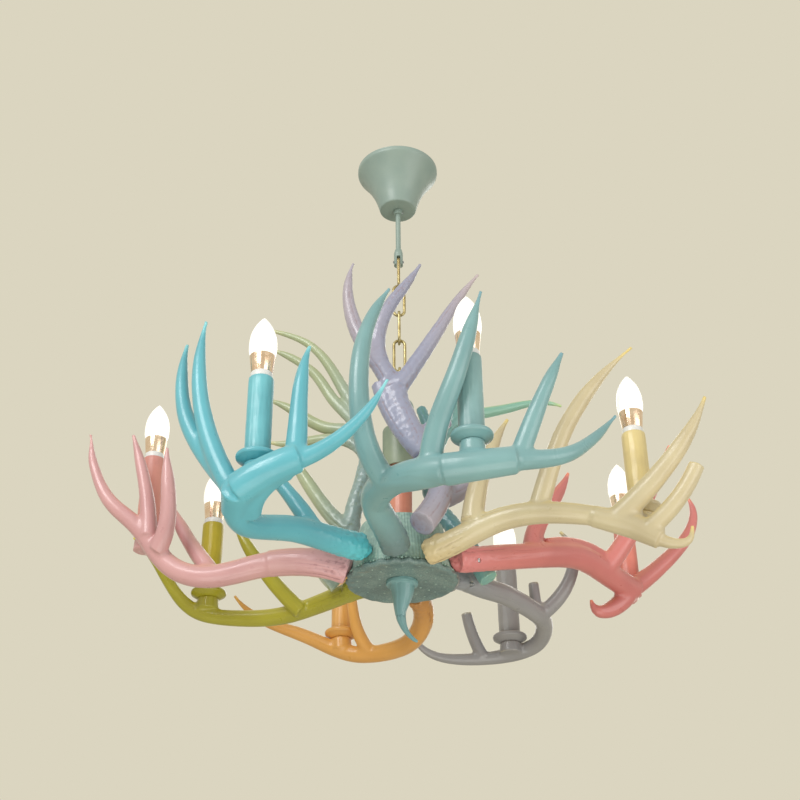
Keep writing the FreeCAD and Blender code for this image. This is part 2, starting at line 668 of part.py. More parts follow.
def top_loop():
    """The ring on the column, with a threaded foot for the tie rod."""
    ring = doc.addObject("Part::Torus", "loop_ring")
    bind(ring, {"Radius1": size["loop_radius"], "Radius2": size["loop_wire"]})
    move(ring, z=ring_centre, turn=Rotation(Vector(1, 0, 0), 90))
    foot = cylinder("loop_collar", size["loop_collar_radius"], size["loop_collar_height"],
                    z=loop_foot)
    bore = cylinder("loop_bore", size["rod_radius"] + size["stud_clearance"],
                    size["loop_collar_height"] - size["loop_wire"] * 2, z=loop_foot)
    keep(cut("top_loop", fuse("loop_body", [ring, foot]), bore), "top_loop")
    keep(hex_nut("loop_lock_nut", cap_top), "loop_lock_nut")


def column():
    """The cup and the pipe that stand on the hub, and the rod that draws all together."""
    wall = size["cap_wall"]
    round_edge = size["cap_edge"]
    hole = size["rod_radius"] + size["slip_clearance"]
    top = size["cap_height"]
    cup = turned_body("column_cap", [
        (size["cap_radius"], 0), (size["cap_radius"], top - round_edge, round_edge),
        (size["cap_radius"] - round_edge, top), (hole, top), (hole, top - wall),
        (size["cap_radius"] - wall, top - wall), (size["cap_radius"] - wall, 0)])
    keep(move(cup, z=cap_top - top), "column_cap")
    pipe = turned_body("column_pipe", [
        (size["pipe_radius"], 0), (size["pipe_radius"], size["pipe_length"]),
        (size["pipe_radius"] - size["pipe_wall"], size["pipe_length"]),
        (size["pipe_radius"] - size["pipe_wall"], 0)])
    keep(move(pipe, z=hub_top), "column_pipe")
    length = loop_foot + size["loop_collar_height"] - size["loop_wire"] * 2 - size["tie_rod_gap"] - tie_bottom
    keep(cylinder("tie_rod", size["rod_radius"], length, z=tie_bottom), "tie_rod")


def hub_radius_at(height):
    """Radius of the hub's side at a height above the dish's underside."""
    share = (height - size["dish_thickness"].value) / size["hub_height"].value
    return size["hub_radius"].value * (1 - share) + size["hub_top_radius"].value * share


def stud_frame(antler):
    """Placement at an antler's stud: X out of the hub, Y to the side, Z up."""
    angle = math.radians(antler["azimuth"])
    radius = hub_radius_at(antler["height"])
    base = Vector(radius * math.cos(angle), radius * math.sin(angle),
                  dish_plane.value + antler["height"])
    return Placement(base, Rotation(Vector(0, 0, 1), antler["azimuth"]))


def stud_cylinder(antler, radius, back, reach):
    """A cylinder along an antler's stud, from inside the hub out into the antler."""
    shape = Part.makeCylinder(radius, back + reach, Vector(-back, 0, 0), Vector(1, 0, 0))
    shape.Placement = stud_frame(antler)
    return shape


def hub():
    """The tapered hub, bored for the tie rod and for one stud per antler."""
    cone = doc.addObject("Part::Cone", "hub_cone")
    bind(cone, {"Radius1": size["hub_radius"], "Radius2": size["hub_top_radius"],
                "Height": size["hub_height"]})
    move(cone, z=hub_foot)
    bore = cylinder("hub_bore", size["rod_radius"] + size["stud_clearance"],
                    size["hub_height"], z=hub_foot)
    ways = doc.addObject("Part::Feature", "hub_stud_ways")
    ways.Shape = Part.makeCompound([
        stud_cylinder(antler, size["stud_radius"].value + size["stud_clearance"].value,
                      size["stud_in_hub"].value,
                      size["drill_overrun"].value) for antler in ANTLERS.values()])
    keep(cut("hub_body", cut("hub_bored", cone, bore), ways), "hub_body")
    studs = doc.addObject("Part::Feature", "antler_studs")
    studs.Shape = Part.makeCompound([
        stud_cylinder(antler, size["stud_radius"].value, size["stud_in_hub"].value,
                      antler["reach"]) for antler in ANTLERS.values()])
    keep(studs, "antler_studs")


def hub_dish():
    """The dish under the hub: a flat sheet with a rolled edge."""
    edge = size["dish_radius"]
    sheet_top = size["dish_thickness"]
    hole = size["rod_radius"] + size["slip_clearance"]
    roll = size["dish_rim"]
    body = turned_body("hub_dish", [
        (hole, 0), (edge - roll * 3, 0), (edge - roll, -roll), (edge, -(roll / 2)),
        (edge, sheet_top), (hole, sheet_top)])
    keep(move(body, z=dish_plane), "hub_dish")


def smooth_frames(points):
    """Frames along a smooth line through the points: at each one and half way between.

    Each frame is turned as little as possible from the one before, so that a skin
    through circles in these frames doesn't twist.
    """
    line = Part.BSplineCurve()
    line.interpolate(Points=[Vector(*point[:3]) for point in points])
    knots = line.getKnots()
    steps = []
    for index, knot in enumerate(knots):
        steps.append((knot, float(points[index][3])))
        if index + 1 < len(knots):
            between = (points[index][3] + points[index + 1][3]) / 2.0
            steps.append(((knot + knots[index + 1]) / 2.0, between))
    frames = []
    turn = Rotation()
    ahead = Vector(0, 0, 1)
    for parameter, radius in steps:
        tangent = line.tangent(parameter)[0]
        turn = Rotation(ahead, tangent).multiply(turn)
        ahead = tangent
        frames.append((Placement(line.value(parameter), turn), radius))
    return frames


def branch_sections(branch, pointed):
    """The (x, y, z, radius) sections of a branch, which tapers evenly along its length.

    A pointed one also closes towards a round tip over the last of its length.
    """
    root, end, places = branch
    points = [Vector(*place) for place in places]
    steps = [points[index].distanceToPoint(points[index + 1]) for index in range(len(points) - 1)]
    sections = []
    for index, point in enumerate(points):
        share = sum(steps[:index]) / sum(steps)
        radius = root + (end - root) * share
        if pointed:
            radius += (size["tine_tip_radius"].value - radius) * share ** TIP_POWER
        sections.append((point.x, point.y, point.z, radius))
    return sections


def branch_solid(points):
    """A smooth round branch through (x, y, z, radius) points."""
    rings = []
    for placement, radius in smooth_frames(points):
        ring = Part.Wire([Part.makeCircle(radius)])
        ring.Placement = placement
        rings.append(ring)
    return Part.makeLoft(rings, True, False)


def finial():
    """The drop under the dish: a round collar and a horn that curls to its tip."""
    drop = size["finial_drop"].value
    sweep = size["finial_sweep"].value
    width = size["finial_radius"].value
    collar_height = size["finial_collar_height"].value
    horn = branch_solid([(sweep * aside, 0, -drop * down, width * thick)
                         for aside, down, thick in HORN_SHAPE])
    collar = Part.makeCylinder(width, collar_height, Vector(0, 0, -collar_height))
    depth = size["finial_socket"].value + size["tie_rod_gap"].value
    socket = Part.makeCylinder(size["rod_radius"].value + size["stud_clearance"].value, depth,
                               Vector(0, 0, -depth))
    body = doc.addObject("Part::Feature", "finial")
    body.Shape = collar.fuse(horn).cut(socket)
    keep(move(body, z=dish_plane), "finial")


def seat_frame(antler):
    """Placement on the top of an antler's candle neck, upright."""
    return Placement(stud_frame(antler).multVec(Vector(*antler["seat"][:3])), Rotation())


def hub_clearance():
    """The space that no antler may enter: the hub and its dish, with the seat gap round them."""
    gap = size["seat_gap"].value
    foot = hub_foot.value
    cone = Part.makeCone(size["hub_radius"].value + gap, size["hub_top_radius"].value + gap,
                         size["hub_height"].value, Vector(0, 0, foot))
    below = size["keep_out"].value
    dish = Part.makeCylinder(size["dish_radius"].value + gap, below + gap,
                             Vector(0, 0, foot - below))
    return cone.fuse(dish)


def antler_shape(antler):
    """One casting: beam, tines, the pad against the hub and the neck under a candle."""
    frame = stud_frame(antler)
    pieces = [branch_solid(branch_sections(branch, True)) for branch in antler["tines"]]
    pieces += [branch_solid(branch_sections(branch, False)) for branch in antler["limbs"]]
    start = size["boss_start"].value
    pad = Part.makeCylinder(size["boss_radius"].value,
                            start + antler["reach"] - size["boss_end"].value,
                            Vector(-start, 0, 0), Vector(1, 0, 0))
    pieces.append(pad)
    if "seat" in antler:
        out, side, up, depth = antler["seat"]
        top = size["seat_radius"].value
        pieces.append(Part.makeCone(top + size["neck_spread"].value, top, depth,
                                    Vector(out, side, up - depth)))
    casting = pieces[0].multiFuse(pieces[1:])
    casting.Placement = frame
    casting = casting.cut(hub_clearance())
    casting = casting.cut(stud_cylinder(
        antler, size["stud_radius"].value + size["stud_clearance"].value,
        size["drill_overrun"].value, antler["reach"] + size["end_clearance"].value))
    if "seat" in antler:
        bottom = size["nipple_in_seat"].value + size["end_clearance"].value
        bore = Part.makeCylinder(size["nipple_radius"].value + size["stud_clearance"].value,
                                 bottom + size["drill_overrun"].value, Vector(0, 0, -bottom))
        bore.Placement = seat_frame(antler)
        casting = casting.cut(bore)
    solids = sorted(casting.Solids, key=lambda solid: solid.Volume)
    return solids[-1]


def antlers():
    for name, antler in ANTLERS.items():
        body = doc.addObject("Part::Feature", "antler_" + name)
        body.Shape = antler_shape(antler)
        keep(body, "antler_" + name)


def candle_pan(label):
    """A shallow saucer with a rolled wall, which catches the wax."""
    hole = size["nipple_radius"] + size["slip_clearance"]
    rim = size["pan_radius"]
    edge = rim - size["pan_bulge"]
    height = size["pan_height"]
    floor = size["pan_floor"]
    return turned_body(label, [
        (hole, 0), (size["pan_foot"], 0), (edge, size["pan_flare"], size["pan_roll"]),
        (edge, height), (rim - size["pan_wall"], height),
        (size["sleeve_radius"] + size["pan_flat"], floor), (hole, floor)])


def candle_sleeve(label):
    outer = size["sleeve_radius"]
    inner = outer - size["sleeve_wall"]
    return turned_body(label, [
        (outer, 0), (outer, size["sleeve_length"]), (inner, size["sleeve_length"]), (inner, 0)])


def bulb(label):
    """A flame-shaped bulb: screw cap, white collar, metal trim and glass, in one piece."""
    screw = size["socket_radius"] - size["stud_clearance"] * 2
    depth = size["socket_depth"] - size["bulb_end_gap"]
    collar_top = size["bulb_collar_height"]
    trim_top = size["bulb_trim_height"] + collar_top
    tip_height = trim_top + size["bulb_glass_height"]
    return turned_body(label, [
        (0, -depth), (screw, -depth), (screw, 0), (size["bulb_collar_radius"], 0),
        (size["bulb_collar_radius"], collar_top), (size["bulb_trim_radius"], trim_top),
        (size["bulb_radius"], trim_top + size["bulb_belly"], size["bulb_curve"]),
        (size["bulb_tip_radius"], tip_height), (0, tip_height)])


def candles():
    """Every candle: pan, sleeve, bulb, and the lampholder on its threaded tube."""
    holders = []
    nipples = []
    holder_top = size["pan_floor"] + size["sleeve_length"] - size["holder_sink"]
    holder_foot = holder_top - size["holder_length"]
    socket_foot = holder_top - size["socket_depth"]
    thread_depth = size["holder_length"] - size["socket_depth"] - size["holder_web"]
    for name, antler in ANTLERS.items():
        if "seat" not in antler:
            continue
        seat = seat_frame(antler).Base
        pan = candle_pan("candle_pan_" + name)
        keep(move(pan, seat.x, seat.y, seat.z), "candle_pan_" + name)
        sleeve = candle_sleeve("candle_sleeve_" + name)
        keep(move(sleeve, seat.x, seat.y, seat.z + size["pan_floor"].value),
             "candle_sleeve_" + name)
        lamp = bulb("bulb_" + name)
        keep(move(lamp, seat.x, seat.y, seat.z + holder_top.value), "bulb_" + name)
        body = cylinder("holder_body_" + name, size["holder_radius"], size["holder_length"],
                        seat.x, seat.y, seat.z + holder_foot.value)
        socket = cylinder("holder_socket_" + name, size["socket_radius"], size["socket_depth"],
                          seat.x, seat.y, seat.z + socket_foot.value)
        thread = cylinder("holder_thread_" + name,
                          size["nipple_radius"] + size["stud_clearance"],
                          thread_depth, seat.x, seat.y, seat.z + holder_foot.value)
        holders.append(cut("holder_" + name, cut("holder_bored_" + name, body, socket), thread))
        length = size["nipple_in_seat"] + holder_foot + thread_depth - size["nipple_end_gap"]
        foot = seat.z - size["nipple_in_seat"].value
        tube = cylinder("nipple_tube_" + name, size["nipple_radius"], length,
                        seat.x, seat.y, foot)
        way = cylinder("nipple_way_" + name, size["nipple_bore"], length, seat.x, seat.y, foot)
        nipples.append(cut("nipple_" + name, tube, way))
    keep(group("lampholders", holders), "lampholders")
    keep(group("candle_nipples", nipples), "candle_nipples")


def export():
    """Check every object, then write each sub-part to its own file."""
    doc.recompute()
    for item in doc.Objects:
        if "Invalid" in item.State or "Error" in item.State:
            raise RuntimeError(item.Name + " failed: " + str(item.State))
    for item in nodes:
        if item.Shape.isNull() or not item.Shape.isValid():
            raise RuntimeError(item.Label + " has no valid shape")
    os.makedirs("parts", exist_ok=True)
    for item in nodes:
        item.Shape.exportStep("parts/" + item.Label + ".step")


ceiling_bracket()
rod_nuts()
terminal_block()
canopy()
canopy_collar()
hanger_rod()
rod_fork()
for link_number in range(LINK_COUNT):
    chain_link(link_number)
top_loop()
column()
hub()
hub_dish()
finial()
antlers()
candles()
export()
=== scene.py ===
"""Looks of the antler chandelier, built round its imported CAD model."""

import json
import logging
import math
from contextlib import contextmanager
from dataclasses import dataclass, field
from enum import Enum
from typing import Callable, Dict, Iterator, List, Optional, Sequence, Tuple

import bpy
import numpy as np
from mathutils import Matrix, Vector, noise

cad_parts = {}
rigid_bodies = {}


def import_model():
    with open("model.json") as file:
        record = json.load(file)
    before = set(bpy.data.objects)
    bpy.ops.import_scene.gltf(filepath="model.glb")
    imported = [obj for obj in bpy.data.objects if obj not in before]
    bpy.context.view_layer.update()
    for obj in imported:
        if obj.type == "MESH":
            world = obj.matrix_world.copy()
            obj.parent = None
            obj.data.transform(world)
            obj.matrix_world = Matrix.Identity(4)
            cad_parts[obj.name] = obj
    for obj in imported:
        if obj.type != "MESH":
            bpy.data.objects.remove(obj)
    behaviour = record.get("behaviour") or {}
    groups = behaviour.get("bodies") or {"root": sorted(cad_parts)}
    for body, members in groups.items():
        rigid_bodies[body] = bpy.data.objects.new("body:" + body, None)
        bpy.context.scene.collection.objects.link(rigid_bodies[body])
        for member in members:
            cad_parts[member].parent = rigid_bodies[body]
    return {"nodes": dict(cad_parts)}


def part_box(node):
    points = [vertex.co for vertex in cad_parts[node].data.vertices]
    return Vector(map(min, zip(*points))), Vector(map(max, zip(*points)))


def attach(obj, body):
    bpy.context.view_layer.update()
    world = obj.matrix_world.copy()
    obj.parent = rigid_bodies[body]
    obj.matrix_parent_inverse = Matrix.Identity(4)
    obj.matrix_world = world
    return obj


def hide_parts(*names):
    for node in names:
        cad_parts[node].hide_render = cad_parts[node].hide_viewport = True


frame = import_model()

log = logging.getLogger("antler_chandelier")

Colour = Tuple[float, float, float]
Screen = Tuple[int, int, int]
Piece = bpy.types.Object
Socket = bpy.types.NodeSocket
Material = bpy.types.Material
MM = 0.001
POLE = 0.01  # the radius that stands for a pole, in millimetres


class LampPart(Enum):
    """The parts of a lamp that are modelled one by one."""

    BASE = "base"
    COLLAR = "collar"
    TRIM = "trim"
    GLASS = "glass"


def painted(red: int, green: int, blue: int) -> Colour:
    """Turns a colour as it looks on a screen, 0 to 255, into the light it reflects.

    Args:
        red: Red, 0 to 255.
        green: Green, 0 to 255.
        blue: Blue, 0 to 255.

    Returns:
        The colour in linear light.
    """
    shares = (channel / 255.0 for channel in (red, green, blue))
    return tuple(s / 12.92 if s <= 0.04045 else ((s + 0.055) / 1.055) ** 2.4 for s in shares)


def mixed(one: Colour, other: Colour, share: float) -> Colour:
    """Returns a colour that is share of the way from one to the other."""
    return tuple(a + (b - a) * share for a, b in zip(one, other))


# ---- materials


class NodeSheet:
    """One material's node tree, with short calls for the nodes that the finishes use."""

    def __init__(self, name: str) -> None:
        """Makes an empty material whose output takes a Principled shader.

        Args:
            name: The material's name.
        """
        self.material = bpy.data.materials.new(name)
        self.material.use_nodes = True
        self.tree = self.material.node_tree
        self.shader = self.tree.nodes["Principled BSDF"]
        self.place = self.add("ShaderNodeTexCoord").outputs["Object"]

    def add(self, kind: str, **settings: object) -> bpy.types.Node:
        """Adds a node and sets its properties."""
        node = self.tree.nodes.new(kind)
        for key, value in settings.items():
            setattr(node, key, value)
        return node

    def join(self, start: Socket, end: Socket) -> None:
        """Links two sockets."""
        self.tree.links.new(start, end)

    def set(self, **values: object) -> None:
        """Sets plain values on the shader's own sockets; words are joined by underscores."""
        for key, value in values.items():
            socket = self.shader.inputs[key.replace("_", " ")]
            socket.default_value = (*value, 1.0) if isinstance(value, tuple) else value

    def grain(self, scale: float, detail: float = 3.0,
              stretch: Colour = (1.0, 1.0, 1.0)) -> Socket:
        """A cloudy noise on the piece's own coordinates.

        Args:
            scale: Blobs per metre.
            detail: How many finer layers.
            stretch: Scale along each axis.

        Returns:
            The noise, about 0.3 to 0.7.
        """
        mapping = self.add("ShaderNodeMapping")
        mapping.inputs["Scale"].default_value = stretch
        cloud = self.add("ShaderNodeTexNoise")
        cloud.inputs["Scale"].default_value = scale
        cloud.inputs["Detail"].default_value = detail
        self.join(self.place, mapping.inputs["Vector"])
        self.join(mapping.outputs["Vector"], cloud.inputs["Vector"])
        return cloud.outputs["Fac"]

    def cells(self, scale: float) -> Socket:
        """Distance to the nearest of many scattered points, for pebbled surfaces."""
        cell = self.add("ShaderNodeTexVoronoi")
        cell.inputs["Scale"].default_value = scale
        self.join(self.place, cell.inputs["Vector"])
        return cell.outputs["Distance"]

    def ramp(self, source: Socket, low: float, high: float,
             start: float = 0.0, end: float = 1.0) -> Socket:
        """Maps low..high of a value onto start..end, and holds it there outside."""
        node = self.add("ShaderNodeMapRange")
        for key, value in (("From Min", low), ("From Max", high), ("To Min", start),
                           ("To Max", end)):
            node.inputs[key].default_value = value
        self.join(source, node.inputs["Value"])
        return node.outputs["Result"]

    def blend(self, share: Socket, one: object,
              other: object) -> Socket:
        """Mixes two colours, each a colour or a socket, by a share."""
        node = self.add("ShaderNodeMix", data_type="RGBA")
        self.join(share, node.inputs[0])
        for slot, value in ((6, one), (7, other)):
            if isinstance(value, tuple):
                node.inputs[slot].default_value = (*value, 1.0)
            else:
                self.join(value, node.inputs[slot])
        return node.outputs[2]

    def colour(self, source: Socket) -> None:
        """Gives the shader its colour."""
        self.join(source, self.shader.inputs["Base Color"])

    def clouded(self, cloud: Socket, low: float, high: float, most: float, body: Colour,
                shade: Colour) -> None:
        """Gives the shader a body colour with clouds of a shade, at most a share of it."""
        self.colour(self.blend(self.ramp(cloud, low, high, 0.0, most), body, shade))

    def roughness(self, source: Socket, low: float, high: float) -> None:
        """Gives the shader a roughness that wanders between two values with a noise."""
        self.join(self.ramp(source, 0.3, 0.7, low, high), self.shader.inputs["Roughness"])

    def bump(self, source: Socket, depth: float, strength: float) -> None:
        """Raises the surface by a noise, on top of any bump there is already."""
        node = self.add("ShaderNodeBump")
        node.inputs["Distance"].default_value = depth
        node.inputs["Strength"].default_value = strength
        self.join(source, node.inputs["Height"])
        normal = self.shader.inputs["Normal"]
        if normal.is_linked:
            self.join(normal.links[0].from_socket, node.inputs["Normal"])
        self.join(node.outputs["Normal"], normal)


@dataclass(frozen=True)
class CastResin:
    """Glossy painted cast resin: a body colour, a darker painted shade in its grooves, ends tinted
    partly with painted warm light, and painted light on faces that turn up.

    The piece carries a colour attribute "tone": red is the groove, where the shade is painted, green
    the butt by the hub, and blue the thin end of a tine.
    """

    name: str
    body: Colour
    groove: Colour
    butt: Colour
    tip: Colour
    top: Colour
    gloss: float = 0.34

    def make(self) -> Material:
        """Builds the node material."""
        sheet = NodeSheet(self.name)
        tone = sheet.add("ShaderNodeAttribute", attribute_name="tone")
        parts = sheet.add("ShaderNodeSeparateColor")
        sheet.join(tone.outputs["Color"], parts.inputs["Color"])
        cloud = sheet.grain(14.0, 2.0)
        facing = sheet.add("ShaderNodeNewGeometry")
        upward = sheet.add("ShaderNodeSeparateXYZ")
        sheet.join(facing.outputs["Normal"], upward.inputs["Vector"])
        # Painted light: faces that turn up take the lighter top colour.
        lit = sheet.ramp(upward.outputs["Z"], 0.25, 1.0, 0.0, 0.85)
        colour = sheet.blend(sheet.ramp(cloud, 0.35, 0.68, 0.0, 0.45), self.body,
                             mixed(self.body, self.groove, 0.55))
        colour = sheet.blend(lit, colour, self.top)
        # The thin tine ends take the tip colour; on most antlers it is lighter and warmer, partly
        # their own tint and partly the bulbs' warm light painted on.
        colour = sheet.blend(sheet.ramp(parts.outputs["Blue"], 0.15, 1.0, 0.0, 0.9), colour,
                             self.tip)
        colour = sheet.blend(sheet.ramp(parts.outputs["Green"], 0.0, 1.0, 0.0, 0.85), colour,
                             self.butt)
        # Painted shade: the furrows and pits take the darker groove colour.
        colour = sheet.blend(sheet.ramp(parts.outputs["Red"], 0.35, 1.0, 0.0, 0.7), colour,
                             self.groove)
        sheet.colour(colour)
        sheet.roughness(sheet.grain(60.0), self.gloss - 0.08, self.gloss + 0.14)
        sheet.bump(sheet.grain(420.0, 4.0), 0.35 * MM, 0.35)
        sheet.bump(sheet.grain(1500.0, 2.0), 0.12 * MM, 0.3)
        sheet.set(Coat_Weight=0.35, Coat_Roughness=0.16)
        return sheet.material


@dataclass(frozen=True)
class SatinPaint:
    """Satin paint on spun or drawn metal, with faint turning marks and orange peel."""

    name: str
    body: Colour
    shade: Colour
    gloss: float = 0.36
    rings: float = 0.0

    def make(self) -> Material:
        """Builds the node material."""
        sheet = NodeSheet(self.name)
        sheet.clouded(sheet.grain(22.0), 0.38, 0.66, 0.8, self.body, self.shade)
        sheet.roughness(sheet.grain(90.0), self.gloss - 0.08, self.gloss + 0.1)
        sheet.bump(sheet.grain(900.0, 2.0), 0.1 * MM, 0.3)
        if self.rings:
            sheet.bump(sheet.grain(self.rings, 1.0, (0.02, 0.02, 1.0)), 0.12 * MM, 0.35)
        sheet.set(Coat_Weight=0.15, Coat_Roughness=0.25)
        return sheet.material


@dataclass(frozen=True)
class HammeredPaint:
    """Paint over a pebbled casting, lighter on its high spots."""

    name: str
    body: Colour
    hollow: Colour
    high: Colour
    pebble: float = 260.0

    def make(self) -> Material:
        """Builds the node material."""
        sheet = NodeSheet(self.name)
        pebbles = sheet.cells(self.pebble)
        colour = sheet.blend(sheet.ramp(pebbles, 0.15, 0.6), self.high, self.body)
        colour = sheet.blend(sheet.ramp(sheet.grain(45.0, 4.0), 0.42, 0.7, 0.0, 0.75), colour,
                             self.hollow)
        sheet.colour(colour)
        sheet.roughness(sheet.grain(120.0), 0.38, 0.6)
        sheet.bump(pebbles, -0.5 * MM, 0.5)
        sheet.bump(sheet.grain(800.0, 3.0), 0.15 * MM, 0.35)
        sheet.set(Coat_Weight=0.2, Coat_Roughness=0.25)
        return sheet.material


@dataclass(frozen=True)
class BareMetal:
    """Uncoated metal with fine scratches."""

    name: str
    body: Colour
    tarnish: Colour
    rough: float = 0.3

    def make(self) -> Material:
        """Builds the node material."""
        sheet = NodeSheet(self.name)
        sheet.clouded(sheet.grain(70.0, 4.0), 0.4, 0.7, 1.0, self.body, self.tarnish)
        sheet.roughness(sheet.grain(300.0), self.rough - 0.08, self.rough + 0.14)
        sheet.bump(sheet.grain(2200.0, 2.0), 0.05 * MM, 0.3)
        sheet.set(Metallic=1.0)
        return sheet.material


@dataclass(frozen=True)
class OpalGlass:
    """Opal glass, lit from inside, with warmer clouds."""

    name: str
    body: Colour
    glow: Colour
    light: float

    def make(self) -> Material:
        """Builds the node material."""
        sheet = NodeSheet(self.name)
        sheet.clouded(sheet.grain(40.0), 0.4, 0.7, 0.5, self.body, self.glow)
        sheet.roughness(sheet.grain(100.0), 0.12, 0.2)
        sheet.set(Emission_Color=self.body, Emission_Strength=self.light, Coat_Weight=0.3,
                  Coat_Roughness=0.08)
        return sheet.material


@dataclass(frozen=True)
class MouldedPlastic:
    """Moulded plastic with a fine grain."""

    name: str
    body: Colour
    shade: Colour
    rough: float = 0.45

    def make(self) -> Material:
        """Builds the node material."""
        sheet = NodeSheet(self.name)
        sheet.clouded(sheet.grain(60.0), 0.4, 0.7, 0.6, self.body, self.shade)
        sheet.roughness(sheet.grain(200.0), self.rough - 0.08, self.rough + 0.1)
        sheet.bump(sheet.grain(1400.0, 2.0), 0.06 * MM, 0.3)
        return sheet.material


# ---- mesh tools


@dataclass(frozen=True)
class Dot:
    """A small ball on a round piece: its angle in radians, the rest in millimetres."""

    angle: float
    reach: float
    height: float
    radius: float


def only(piece: Piece) -> Piece:
    """Selects one object, and nothing else, and makes it active."""
    bpy.ops.object.select_all(action="DESELECT")
    piece.select_set(True)
    bpy.context.view_layer.objects.active = piece
    return piece


def apply(piece: Piece, kind: str, **settings: object) -> None:
    """Adds a modifier to a piece and applies it.

    Args:
        piece: The piece.
        kind: The modifier's type.
        **settings: The modifier's properties.
    """
    only(piece)
    modifier = piece.modifiers.new(kind.title(), kind)
    for key, value in settings.items():
        setattr(modifier, key, value)
    bpy.ops.object.modifier_apply(modifier=modifier.name)


def settle(piece: Piece) -> None:
    """Puts a finished piece's place into its mesh, so that its object sits at the origin."""
    only(piece)
    bpy.ops.object.transform_apply(location=True, rotation=True, scale=True)


@contextmanager
def editing(piece: Piece, select: str = "SELECT") -> Iterator[None]:
    """Opens a piece in edit mode, with all of it selected, and closes it afterwards."""
    only(piece)
    bpy.ops.object.mode_set(mode="EDIT")
    bpy.ops.mesh.select_all(action=select)
    yield
    bpy.ops.object.mode_set(mode="OBJECT")


def outward(piece: Piece, merge: float = 0.001) -> None:
    """Merges points closer than merge, in millimetres, and turns all faces outwards."""
    with editing(piece):
        bpy.ops.mesh.remove_doubles(threshold=merge * MM)
        bpy.ops.mesh.normals_make_consistent(inside=False)


def smooth(piece: Piece, degrees: float) -> None:
    """Shades a piece smooth, but for edges sharper than the angle."""
    only(piece)
    bpy.ops.object.shade_smooth_by_angle(angle=math.radians(degrees))


def turned(name: str, rings: Sequence[Tuple[float, float]], segments: int,
           closed_loop: bool = False) -> Piece:
    """Turns a piece on the Z axis from its rings, as on a lathe.

    A circle is added, then extruded and resized from ring to ring. A ring of radius 0
    closes the piece to a pole.

    Args:
        name: The piece's name.
        rings: (radius, height) in millimetres, in order along the profile.
        segments: How many sides round.
        closed_loop: Whether the last ring joins the first, as in a tube's wall.

    Returns:
        The piece, its faces outwards.
    """
    bpy.ops.object.select_all(action="DESELECT")
    radius, height = rings[0]
    bpy.ops.mesh.primitive_circle_add(vertices=segments, radius=max(radius, POLE) * MM,
                                      fill_type="NOTHING", location=(0, 0, height * MM))
    piece = bpy.context.active_object
    piece.name = name
    bpy.ops.object.transform_apply(location=True)
    with editing(piece):
        for (last_radius, last_height), (new_radius, new_height) in zip(rings, rings[1:]):
            bpy.ops.mesh.extrude_region_move(
                TRANSFORM_OT_translate={"value": (0, 0, (new_height - last_height) * MM)})
            share = max(new_radius, POLE) / max(last_radius, POLE)
            bpy.ops.transform.resize(value=(share, share, 1.0), center_override=(0, 0, 0))
    if closed_loop:
        with editing(piece, "DESELECT"):
            bpy.ops.mesh.select_mode(type="EDGE")
            bpy.ops.mesh.select_non_manifold(extend=False)
            bpy.ops.mesh.bridge_edge_loops()
    outward(piece, 0.03)
    return piece


def swell(piece: Piece, least_radius: float,
          rise: Callable[[float, float, float], float]) -> None:
    """Moves a turned piece's points out from the Z axis, or in.

    Args:
        piece: The piece.
        least_radius: Points nearer to the axis than this stay, in millimetres.
        rise: How far out a point at x, y, z in metres moves, in millimetres.
    """
    for vertex in piece.data.vertices:
        radius = math.hypot(vertex.co.x, vertex.co.y)
        if radius < least_radius * MM:
            continue
        share = 1.0 + rise(*vertex.co) * MM / radius
        vertex.co.x *= share
        vertex.co.y *= share


def joined_dots(name: str, dots: Sequence[Dot], sides: int, rings: int,
                squash: float) -> Piece:
    """Makes one piece of many small flattened balls.

    Args:
        name: The piece's name.
        dots: Where the balls are and how large.
        sides: Sides round each ball.
        rings: Rings from pole to pole.
        squash: Height of a ball as a share of its width.

    Returns:
        The piece, at the origin.
    """
    made = []
    for dot in dots:
        bpy.ops.object.select_all(action="DESELECT")
        bpy.ops.mesh.primitive_uv_sphere_add(
            segments=sides, ring_count=rings, radius=dot.radius * MM,
            location=(dot.reach * math.cos(dot.angle) * MM, dot.reach * math.sin(dot.angle) * MM,
                      dot.height * MM))
        bpy.ops.transform.resize(value=(1.0, 1.0, squash))
        made.append(bpy.context.active_object)
    only(made[0])
    for ball in made:
        ball.select_set(True)
    bpy.ops.object.join()
    piece = bpy.context.active_object
    piece.name = name
    settle(piece)
    smooth(piece, 80)
    return piece


def levels(node: str) -> Tuple[float, float]:
    """Returns a CAD node's lowest and highest level, in millimetres."""
    low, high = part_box(node)
    return low[2] / MM, high[2] / MM


def placed_copy(source: Piece, name: str,
                place: Tuple[float, float, float]) -> Piece:
    """Copies a piece with its own mesh to another place, given in metres."""
    only(source)
    bpy.ops.object.duplicate(linked=False)
    piece = bpy.context.active_object
    piece.name = name
    bpy.ops.transform.translate(value=place)
    settle(piece)
    return piece


def cad_copy(node: str, name: str) -> Piece:
    """Copies a CAD node into a new piece whose loose triangles are merged.

    Args:
        node: The CAD node.
        name: The new piece's name.

    Returns:
        The piece, at the origin and without a parent.
    """
    only(frame["nodes"][node])
    bpy.ops.object.duplicate(linked=False)
    piece = bpy.context.active_object
    bpy.ops.object.parent_clear(type="CLEAR_KEEP_TRANSFORM")
    piece.name = name
    piece.data.materials.clear()
    with editing(piece):
        bpy.ops.mesh.remove_doubles(threshold=0.002 * MM)
    settle(piece)
    return piece


def finish_piece(piece: Piece, material: Material, body: str,
                 nodes: Sequence[str]) -> None:
    """Dresses a finished piece and ties it to the CAD model.

    Args:
        piece: The piece.
        material: Its material.
        body: The body that it rides on.
        nodes: The CAD nodes that it stands for.
    """
    if not piece.data.materials:
        piece.data.materials.append(material)
    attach(piece, body)
    if nodes:
        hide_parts(*nodes)
    log.info("%s: %d faces", piece.name, len(piece.data.polygons))


